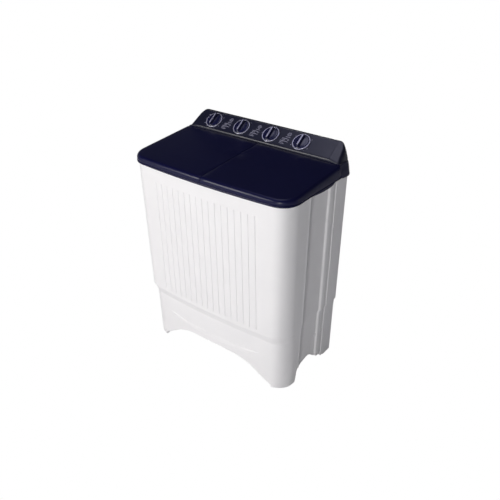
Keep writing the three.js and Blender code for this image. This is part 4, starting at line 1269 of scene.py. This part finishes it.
def lint_mesh():
    """Open net in the filter frame; its 4 mm pitch is coarser than a real 1 mm net so that it shows."""
    upright, level = block((-0.4, 0.4), (-0.4, 0.4), (0, 137)), block((-22.3, 22.3), (-0.4, 0.4), (-0.4, 0.4))
    strands = repeated("net_uprights", upright, [(-285 + 4 * i, 105.6, 651.5, 0, 1) for i in range(11)],
                       NATURAL)
    finish_piece(strands, NATURAL, "frame")
    strands = repeated("net_levels", level, [(-265, 106.2, 655 + 4 * i, 0, 1) for i in range(33)], NATURAL)
    return finish_piece(strands, NATURAL, "frame")


def pulsator():
    """Dished disc with six curved fins that rise to a hub."""
    profile = [(8.5, 447), (129, 447), (131.4, 448.6), (132, 451), (130.6, 453.6), (126, 454.6),
               (110, 455.4), (90, 457),
               (70, 460), (52, 465), (36, 473), (26, 479.5), (16, 482.8), (8.5, 484)]
    dish = face_outwards(mesh_of("pulsator_moulding", turned(PULSATOR_X, PULSATOR_Y, profile, 96,
                                                             closed=True)))
    fins = []
    for k in range(6):
        fin, rows = Shape(), []
        for i in range(13):
            t = i / 12
            r, swept = 24 + 96 * t, math.radians(60 * k + 22 * t * t)
            height, half = 449 + 32 * (1 - t) ** 0.7 + 4 * t, 7.5 - 2.5 * t
            section = [(half, 449), (half * 0.92, 449 + (height - 449) * 0.72), (half * 0.5, height - 0.6),
                       (0, height),
                       (-half * 0.5, height - 0.6), (-half * 0.92, 449 + (height - 449) * 0.72), (-half, 449)]
            c, s = math.cos(swept), math.sin(swept)
            rows.append(fin.row([(PULSATOR_X + r * c - w * s, PULSATOR_Y + r * s + w * c, z) for w,
                                 z in section]))
        for a, b in zip(rows, rows[1:]):
            fin.bridge(b, a)
        fin.faces += [tuple(rows[0][::-1]), tuple(rows[-1])]
        fins.append(face_outwards(mesh_of("fin", fin)))
    boolean(dish, "UNION", *fins)
    holes = Shape()
    for k in range(24):
        a = math.radians(15 * k + 7.5)
        holes.merge(cylinder(PULSATOR_X + 104 * math.cos(a), PULSATOR_Y + 104 * math.sin(a), 2.4, 10, 440,
                             470))
    boolean(dish, "DIFFERENCE", mesh_of("holes", holes))
    return finish_piece(dish, BLUE, "pulsator_drive", ["pulsator"], 38)


def spin_basket():
    """Basket's floor with its centre cone, and the rolled balance ring round the mouth."""
    floor = [(9.4, 500), (132, 500), (136.5, 503), (138, 508), (138, 520), (135, 520), (135, 512),
             (130, 506), (60, 510),
             (40, 514), (30, 532), (22, 545), (9.4, 548)]
    ring = [(135, 788), (138, 788), (138, 830), (136.2, 835.6), (132, 838), (118, 838), (113.4, 836),
            (112, 830), (112, 816),
            (114, 812), (132, 803), (135, 800)]
    shape = turned(SPIN_X, SPIN_Y, floor, 96, closed=True)
    shape.merge(turned(SPIN_X, SPIN_Y, ring, 96, closed=True))
    basket = mesh_of("spin_basket_ends", shape)
    return finish_piece(basket, NATURAL, "spin_drive", ["spin_basket"], 38, outward=True)


def basket_wall():
    """Perforated wall: 36 by 19 tiles, each with one round 5 mm hole."""
    outside, wall, pitch, count, low, high = 137.9, 2.7, math.radians(10), 36, 518.0, 790.0
    rows_up = 19
    step = (high - low) / rows_up
    corners = [(-1, -1), (0, -1), (1, -1), (1, 0), (1, 1), (0, 1), (-1, 1), (-1, 0)]
    hole = 2.5

    def at(u, v, depth):
        a = u / outside
        return ((outside - depth) * math.cos(a), (outside - depth) * math.sin(a), v)

    def tile(bottom_end, top_end):
        shape, half = Shape(), outside * pitch / 2
        edge = [(cu * half, step / 2 + cv * step / 2) for cu, cv in corners]
        rim = [(hole * math.cos(a),
                step / 2 + hole * math.sin(a)) for a in (math.radians(-135 + 45 * i) for i in range(8))]
        out_edge, out_rim = (shape.row([at(u, v, 0) for u, v in ring]) for ring in (edge, rim))
        in_edge, in_rim = (shape.row([at(u, v, wall) for u, v in ring]) for ring in (edge, rim))
        for i in range(8):
            j = (i + 1) % 8
            shape.faces += [(out_edge[i], out_edge[j], out_rim[j], out_rim[i]),
                            (out_rim[i], out_rim[j], in_rim[j], in_rim[i]),
                            (in_rim[i], in_rim[j], in_edge[j], in_edge[i])]
            if (bottom_end and i in (0, 1)) or (top_end and i in (4, 5)):
                shape.faces.append((in_edge[i], in_edge[j], out_edge[j], out_edge[i]))
        return shape

    made = []
    for name, ends, levels in (("low", (True, False), [0]), ("mid", (False, False), range(1, rows_up - 1)),
                               ("top", (False, True), [rows_up - 1])):
        places = [(SPIN_X, SPIN_Y, low + step * level, pitch * k,
                   1.0) for level in levels for k in range(count)]
        made.append(repeated("perforated_" + name, tile(*ends), places, NATURAL))
    work = bmesh.new()
    for part in made:
        work.from_mesh(part.data)
        bpy.data.objects.remove(part)
    mesh = bpy.data.meshes.new("perforated_basket_wall")
    work.to_mesh(mesh)
    work.free()
    return finish_piece(linked("perforated_basket_wall", mesh), NATURAL, "spin_drive",
                        (), 30, outward=True)


def ring_of(name, x, y, count, unit, z, material, body):
    """Copies of one unit turned about an upright line."""
    places = [(x, y, z, 2 * math.pi * k / count, 1.0) for k in range(count)]
    return finish_piece(repeated(name, unit, places, material), material, body)


def motor_fins():
    """Cooling ribs round both motor cases."""
    ring_of("wash_motor_ribs", MOTOR_X, MOTOR_Y, 36, block((59.2, 62.6), (-1, 1), (0, 66)), 337, ENAMEL,
            "frame")
    ring_of("spin_motor_ribs", SPIN_X, SPIN_Y, 40, block((69.2, 72.8), (-1, 1), (0, 78)), 228, ENAMEL,
            "frame")


def v_groove(z, groove, hub):
    """Profile of a pulley's rim: a 5 mm deep V groove between two chamfered flanges."""
    rim = groove + 5
    low = [(hub + 1.5, -8), (rim - 0.8, -8), (rim, -7.2), (rim, -6), (groove, -3)]
    return [(r, z + h) for r, h in low] + [(r, z - h) for r, h in low[::-1]]


def drive_pulley():
    """Large V pulley, webbed and lightened by six round holes."""
    profile = [(8.3, 286), (20, 286), (20, 292), (105, 292), (105, 294), (100, 297), (100, 303), (105, 306),
               (105, 308), (88, 308),
               (88, 303), (22, 303), (20, 311), (8.3, 311)]
    wheel = mesh_of("large_pulley", turned(PULSATOR_X, PULSATOR_Y, profile, 96, closed=True))
    holes = Shape()
    for k in range(6):
        a = math.radians(60 * k)
        holes.merge(cylinder(PULSATOR_X + 56 * math.cos(a), PULSATOR_Y + 56 * math.sin(a), 19, 32,
                             BELT_Z - 20, BELT_Z + 20))
    boolean(wheel, "DIFFERENCE", mesh_of("holes", holes))
    return finish_piece(wheel, ENAMEL, "pulsator_drive", ["drive_pulley"], 35)


def motor_pulley():
    """Small V pulley and the stub of the motor's shaft, in one."""
    profile = [(0, 284), (6, 284), (6, 286), (20, 286)] + v_groove(BELT_Z, MOTOR_GROOVE, 20)
    profile += [(20, 309), (20, 310.6), (19.4, 311), (6, 311), (6, 345), (0, 345)]
    wheel = mesh_of("small_pulley", turned(MOTOR_X, MOTOR_Y, profile, 64))
    return finish_piece(wheel, STEEL, "motor_pulley", ["motor_pulley"], 35, outward=True)


def drive_belt():
    """V belt round both pulleys."""
    dx, dy = MOTOR_X - PULSATOR_X, MOTOR_Y - PULSATOR_Y
    heading = math.degrees(math.atan2(dy, dx))

    def loop(offset, z):
        big, small = DRIVE_GROOVE + offset, MOTOR_GROOVE + offset
        spread = math.degrees(math.acos((big - small) / math.hypot(dx, dy)))
        points = (arc(PULSATOR_X, PULSATOR_Y, big, heading + spread, heading + 360 - spread, 64)
                  + arc(MOTOR_X, MOTOR_Y, small, heading - spread, heading + spread, 24))
        return [(px, py, z) for px, py in points]

    shape = Shape()
    rows = [shape.row(loop(offset, BELT_Z + z)) for offset, z in
            ((1.0, -2.8), (1.0, 2.8), (8.6, 4.4), (9.6, 4.0), (9.6, -4.0), (8.6, -4.4))]
    for a, b in zip(rows, rows[1:] + rows[:1]):
        shape.bridge(a, b)
    belt = mesh_of("v_belt", shape)
    return finish_piece(belt, RUBBER, "frame", ["drive_belt"], 40, outward=True)


TURNED_PARTS = {
    # node: (x, y, material, body, slot, closed ring or solid to the axis, [(radius, z)])
    "pulsator_shaft": (PULSATOR_X, PULSATOR_Y, STEEL, "pulsator_drive", "steel", False,
                       [(0, 286), (7.2, 286), (8, 287), (8, 461), (7, 462), (0, 462)]),
    "pulsator_bearing_housing": (PULSATOR_X, PULSATOR_Y, NYLON, "frame", "grey_plastic", True,
                                 [(8.4, 316), (23, 316), (25, 318), (31, 328), (32, 331), (32, 428),
                                  (35, 430), (57, 430),
                                  (58, 431), (58, 435), (57, 436), (15.5, 437), (14, 438.5), (14, 444),
                                  (13, 445),
                                  (8.4, 445)]),
    "spin_shaft": (SPIN_X, SPIN_Y, STEEL, "spin_drive", "steel", False,
                   [(0, 318), (8.2, 318), (9, 319), (9, 521), (8, 522), (0, 522)]),
    "brake_drum": (SPIN_X, SPIN_Y, STEEL, "spin_drive", "steel", True,
                   [(9.3, 345), (61.2, 345), (62, 345.8), (62, 374.4), (61.4, 375), (57.6, 375),
                    (57, 374.4), (57, 354),
                    (55, 352), (24, 352), (22, 354), (22, 391), (21, 392), (9.3, 392)]),
    "spin_bearing": (SPIN_X, SPIN_Y, STEEL, "frame", "steel", True,
                     [(9.8, 448), (16.8, 448), (17.5, 448.7), (17.5, 485.3), (16.8, 486), (9.8, 486)]),
    "spin_bellows": (SPIN_X, SPIN_Y, RUBBER, "frame", "rubber", True,
                     [(19, 452), (24, 452), (25, 453), (25, 458), (27, 461), (33, 460), (34.5, 462),
                      (33, 464), (29, 465),
                      (29, 467), (37, 466), (39.4, 468), (39.4, 473), (37, 474.5), (29, 473), (29, 476),
                      (26, 480), (19, 480)]),
    "wash_motor": (MOTOR_X, MOTOR_Y, ENAMEL, "frame", "motor_paint", True,
                   [(6.5, 316), (19, 316), (20.5, 317.5), (22, 323), (51, 324), (56, 326.5), (59, 330.5),
                    (60, 335), (60, 366),
                    (58.8, 367), (58.8, 369), (60, 370), (60, 405), (58, 411), (52, 416), (31, 423.4),
                    (29, 424), (6.5, 424)]),
    "spin_motor": (SPIN_X, SPIN_Y, ENAMEL, "frame", "motor_paint", True,
                   [(9.6, 214), (61, 214), (66, 216.5), (69, 220.5), (70, 225), (70, 266), (68.8, 267),
                    (68.8, 269), (70, 270),
                    (70, 309), (67, 316), (60, 321.4), (28, 329.4), (25, 330), (9.6, 330)]),
    "spin_outer_tub": (SPIN_X, SPIN_Y, TUB_WHITE, "frame", "tub_plastic", True,
                       [(41.5, 468), (150, 468), (155, 469.4), (158, 473), (166, 868), (167, 872),
                        (171, 872), (172, 873),
                        (172, 874.4), (171.4, 875), (163, 875), (155.4, 476), (152, 471.6), (148, 471),
                        (44, 471),
                        (43, 476), (41.5, 476)]),
    "drain_valve_rod": (DRAIN_X, DRAIN_Y, NATURAL, "drain_valve", "natural_plastic", False,
                        [(0, 405), (14.4, 405), (16, 408), (16, 411), (13, 414), (8, 417), (4, 418),
                         (3, 420), (3, 929),
                         (2.2, 930), (0, 930)]),
}


def turned_parts():
    """Every part that is round about an upright line."""
    for node, (x, y, material, body, slot, ringed, profile) in TURNED_PARTS.items():
        part = mesh_of(node + "_part", turned(x, y, profile, 64, closed=ringed))
        finish_piece(part, material, body, [node], 35, outward=True)


def feet():
    """Rubber feet, grooved where they stand."""
    for node, x, y in (("foot_front_left", -328, -124), ("foot_front_right", 328, -124),
                       ("foot_rear_left", -328, 180),
                       ("foot_rear_right", 328, 180)):
        profile = [(0, 0.8), (6, 0.8), (6.6, 0), (10, 0), (10.6, 0.8), (13, 0.8), (13.6, 0), (18.6, 0),
                   (20.6, 0.6), (21.8, 2),
                   (22, 3), (22, 5.7), (0, 5.7)]
        foot = mesh_of(node + "_pad", turned(x, y, profile, 48))
        finish_piece(foot, RUBBER, "frame", [node], 35, outward=True)


def spring_coils():
    """Three compression springs under the spin motor, each a swept spiral."""
    places = [(SPIN_X + 72 * math.cos(a), SPIN_Y + 72 * math.sin(a), 155.6) for a in
              (math.radians(d) for d in (90, 210, 330))]
    points = bpy.data.meshes.new("spring_seats")
    points.from_pydata([Vector(p) * MM for p in places], [], [])
    host = linked("motor_springs", points)
    tree = bpy.data.node_groups.new("spring_layout", "GeometryNodeTree")
    face = tree.interface
    face.new_socket("Seats", in_out="INPUT", socket_type="NodeSocketGeometry")
    for name in ("Coil Radius", "Wire Radius", "Height", "Turns"):
        face.new_socket(name, in_out="INPUT", socket_type="NodeSocketFloat")
    face.new_socket("Finish", in_out="INPUT", socket_type="NodeSocketMaterial")
    face.new_socket("Springs", in_out="OUTPUT", socket_type="NodeSocketGeometry")
    given = add(tree, "NodeGroupInput").outputs
    coil = add(tree, "GeometryNodeCurveSpiral", None, Resolution=24, Rotations=given["Turns"],
               Height=given["Height"],
               Start_Radius=given["Coil Radius"], End_Radius=given["Coil Radius"])
    wire = add(tree, "GeometryNodeCurvePrimitiveCircle", None, Resolution=8, Radius=given["Wire Radius"])
    swept = add(tree, "GeometryNodeCurveToMesh", None, Curve=coil.outputs[0], Profile_Curve=wire.outputs[0],
                Fill_Caps=True)
    laid = add(tree, "GeometryNodeInstanceOnPoints", None, Points=given["Seats"], Instance=swept.outputs[0])
    real = add(tree, "GeometryNodeRealizeInstances", None, Geometry=laid.outputs[0])
    painted = add(tree, "GeometryNodeSetMaterial", None, Geometry=real.outputs[0], Material=given["Finish"])
    add(tree, "NodeGroupOutput", None, Springs=painted.outputs[0])
    layout = host.modifiers.new("layout", "NODES")
    layout.node_group = tree
    values = {"Coil Radius": 14.2 * MM, "Wire Radius": 2.2 * MM, "Height": 51.6 * MM, "Turns": 6.0,
              "Finish": STEEL}
    for item in face.items_tree:
        if item.in_out == "INPUT" and item.name in values:
            layout[item.identifier] = values[item.name]
    settle(host)
    return finish_piece(host, STEEL, "frame", ["spin_motor_spring_%d" % k for k in (1, 2, 3)], 60,
                        outward=True)


def rods():
    """Hinge rods and the brake's pull wire, with rounded ends."""
    for node, x0, x1 in (("wash_lid_hinge_rod", -379, -9), ("spin_lid_hinge_rod", 9, 379)):
        bar = turned(0, 0, [(0, x0), (1.7, x0), (2.3, x0 + 0.7), (2.3, x1 - 0.7), (1.7, x1), (0, x1)], 24)
        rod = mesh_of(node + "_pin", Shape().merge(bar, lambda p: (p[2], HINGE_Y + p[0], HINGE_Z + p[1])))
        finish_piece(rod, STEEL, "frame", [node], 40, outward=True)
    strands = Shape()
    for k in range(3):
        path = [(266 + 0.72 * math.cos(a), 150 + 0.72 * math.sin(a), 369.4 + 493.8 * i / 240) for i, a in
                ((i, 2 * math.pi * (k / 3 + i / 16)) for i in range(241))]
        strands.merge(sweep(path, 0.74, 6))
    wire = mesh_of("brake_pull_wire", strands)
    finish_piece(wire, STEEL, "frame", ["brake_wire"], 60, outward=True)


def rear_fittings():
    """Threaded water inlet and the cord gland."""
    spout = [(9, 198.2), (12.4, 198.2)] + [(12.4 - 0.9 * (k % 2),
                                            203 + 1.6 * k) for k in range(14)] + [(11.6, 227), (9, 227)]
    inlet = mesh_of("inlet_spout", facing_rear(turned(0, 0, spout, 48, closed=True), -300, 896))
    chamber = mesh_of("chamber", block((-318, -282), (176, 200), (884, 912)))
    boolean(chamber, "DIFFERENCE", mesh_of("bore", facing_rear(cylinder(0, 0, 9, 32, 182, 240), -300, 896)))
    bevel(chamber, 1.5, 3, 50)
    finish_piece(chamber, NATURAL, "frame", ["water_inlet"], 35)
    finish_piece(inlet, NATURAL, "frame", (), 30, outward=True)
    gland = [(4, REAR - 8), (7.4, REAR - 8), (7.4, REAR + 3), (11, REAR + 3), (11, REAR + 5),
             (9, REAR + 6.6), (5, 227), (4, 227)]
    ring = mesh_of("cord_gland", facing_rear(turned(0, 0, gland, 40, closed=True), 250, 360))
    finish_piece(ring, RUBBER, "frame", ["power_cord_gland"], 40, outward=True)


def drain_hose_stub():
    """Bent outlet pipe from the valve box to the rear, with a barb at its end."""
    bend, low, end = 30, 84, CONSOLE_REAR - 4
    path = [(DRAIN_X, DRAIN_Y, 399.4), (DRAIN_X, DRAIN_Y, 300), (DRAIN_X, DRAIN_Y, 200),
            (DRAIN_X, DRAIN_Y, 114)]
    path += [(DRAIN_X, DRAIN_Y + bend * t * t,
              low + bend * (1 - t) ** 2) for t in (0.14 * i for i in range(1, 7))]
    path += [(DRAIN_X, DRAIN_Y + bend, low), (DRAIN_X, end - 6, low), (DRAIN_X, end, low)]
    pipe = mesh_of("outlet_pipe", sweep(path, [15] * 10 + [14.9, 15, 14.2], 40))
    bore = [(DRAIN_X, DRAIN_Y, 405)] + path[1:-1] + [(DRAIN_X, end + 10, low)]
    boolean(pipe, "DIFFERENCE", mesh_of("bore", sweep(bore, 12, 40)))
    return finish_piece(pipe, NYLON, "frame", ["drain_pipe"], 35)


def timers():
    """Clockwork timers and the rotary switch behind the fascia."""
    for node, x, half, y, z, collar in (("wash_timer", -267, 29, (-24, 20), (-36, -8), 9),
                                        ("spin_timer", 183, 29, (-24, 20), (-36, -8), 9),
                                        ("wash_selector_switch", -117, 20, (-20, 20), (-24, -8), 8)):
        case = mesh_of(node + "_case", prism(rounded_rectangle((-half, half), y, 4, 5), *z))
        boolean(case, "UNION", mesh_of("collar", cylinder(0, 0, collar, 32, z[1] - 1, -3.4)))
        boolean(case, "DIFFERENCE", mesh_of("bore", cylinder(0, 0, 4.5, 32, -22, 5)))
        bevel(case, 0.8, 2, 50)
        to_slope(case, x)
        finish_piece(case, NYLON, "frame", [node], 35)


MAKERS = [cabinet, plinth_skin, plinth_floor, top_deck, console_housing, console_fascia, rear_cover,
          rear_screws,
          printed_scales, setting_marks, dial_numbers, rear_louvres, wash_tub, tub_ribs, filter_channel,
          lint_filter,
          lint_mesh, pulsator, spin_basket, basket_wall, motor_fins, drive_pulley, motor_pulley, drive_belt,
          turned_parts,
          feet, spring_coils, rods, rear_fittings, drain_hose_stub, timers]


# ---------------------------------------------------------------- stage, lights and camera
def floor_stage():
    """Pale seamless floor, lit evenly."""
    shape = Shape()
    rows = shape.row([(-9000, -9000, -0.2), (9000, -9000, -0.2), (9000, 9000, -0.2), (-9000, 9000, -0.2)])
    shape.faces.append(tuple(rows))
    floor = mesh_of("studio_floor", shape)
    material, tree, _ = new_material("white_paper_sweep")
    # matt white paper; camera and lights see it as bright as the background behind it
    shader = add(tree, "ShaderNodeBsdfDiffuse", None, Color=hex_colour("#f6f6f6"))
    glow = add(tree, "ShaderNodeEmission", None, Color=(1, 1, 1, 1), Strength=1.0)
    path = add(tree, "ShaderNodeLightPath")
    seen = add(tree, "ShaderNodeMixShader", None, _0=path.outputs["Is Camera Ray"], _1=shader.outputs[0],
               _2=glow.outputs[0])
    add(tree, "ShaderNodeOutputMaterial", None, Surface=seen.outputs[0])
    floor.data.materials.append(material)


def world():
    """Plain white behind the machine, a dim soft room in its reflections."""
    scene = bpy.context.scene
    scene.world = bpy.data.worlds.new("studio")
    scene.world.use_nodes = True
    tree = scene.world.node_tree
    tree.nodes.clear()
    path = add(tree, "ShaderNodeLightPath")
    place = add(tree, "ShaderNodeTexCoord").outputs["Generated"]
    axes = add(tree, "ShaderNodeSeparateXYZ", None, Vector=place)
    lift = add(tree, "ShaderNodeMapRange", None, Value=axes.outputs["Z"], _1=0.02, _2=0.3, _3=0.5, _4=0.035)
    room = add(tree, "ShaderNodeBackground", None, Color=(0.93, 0.95, 1.0, 1), Strength=lift.outputs[0])
    white = add(tree, "ShaderNodeBackground", None, Color=(1, 1, 1, 1), Strength=1.0)
    seen = add(tree, "ShaderNodeMixShader", None, _0=path.outputs["Is Camera Ray"], _1=room.outputs[0],
               _2=white.outputs[0])
    add(tree, "ShaderNodeOutputWorld", None, Surface=seen.outputs[0])


def soft_light(name, place, target, size, power, colour="#ffffff"):
    """A rectangular soft box that faces target."""
    light = bpy.data.lights.new(name, "AREA")
    light.shape, light.size, light.size_y = "RECTANGLE", size[0], size[1]
    light.energy = power
    light.color = hex_colour(colour)[:3]
    lamp = linked(name, light)
    lamp.location = place
    lamp.rotation_euler = (Vector(target) - Vector(place)).to_track_quat("-Z", "Y").to_euler()


def camera():
    """The camera that the outline was matched to."""
    data = bpy.data.cameras.new("camera")
    data.lens, data.sensor_width = 44.69, 36
    data.shift_x, data.shift_y = -0.01078, -0.0196
    data.clip_end = 60
    cam = linked("camera", data)
    turn = (Matrix.Rotation(math.radians(36.909), 4, "Z") @ Matrix.Rotation(math.radians(60.774), 4, "X")
            @ Matrix.Rotation(math.radians(0.124), 4, "Z"))
    cam.matrix_world = Matrix.Translation((1.4385, -1.7953, 1.8225)) @ turn
    bpy.context.scene.camera = cam


# ---------------------------------------------------------------- the whole machine
def carried_over():
    """CAD nodes whose shape is right take their slot's finish."""
    slots = {row["node"]: row["material_slot"] for row in frame["record"]["subparts"]}
    for name, node in frame["nodes"].items():
        if name in slots and node.type == "MESH":
            node.data.materials.clear()
            node.data.materials.append(FINISH_OF_SLOT[slots[name]])


carried_over()
for make in MAKERS:
    make()
for side in (-1, 1):
    for front in (True, False):
        plinth_leg(side, front)
lid("wash_lid", -1)
lid("spin_lid", 1)
for name, x in KNOBS.items():
    knob_bezel(name, x)
    knob(name, x)
    knob_pointer(name, x)
floor_stage()
world()
soft_light("key", (-2.3, -3.7, 2.3), (0, -0.1, 0.5), (1.7, 1.7), 112, "#fffdf8")
soft_light("rake", (1.45, -3.7, 1.2), (0.2, -0.1, 0.5), (0.6, 1.4), 52, "#fffefb")
soft_light("overhead", (-0.2, 0.0, 3.0), (-0.05, 0.15, 0.95), (1.3, 1.0), 9, "#e9e8ff")
soft_light("edge", (3.2, 1.6, 0.9), (0.3, 0.1, 0.5), (0.35, 1.6), 4, "#fbf8f2")
soft_light("back", (-0.8, 4.4, 0.5), (0, 0.1, 0.5), (2.6, 0.7), 75, "#ffffff")
camera()
bpy.context.scene.view_settings.view_transform = "Standard"
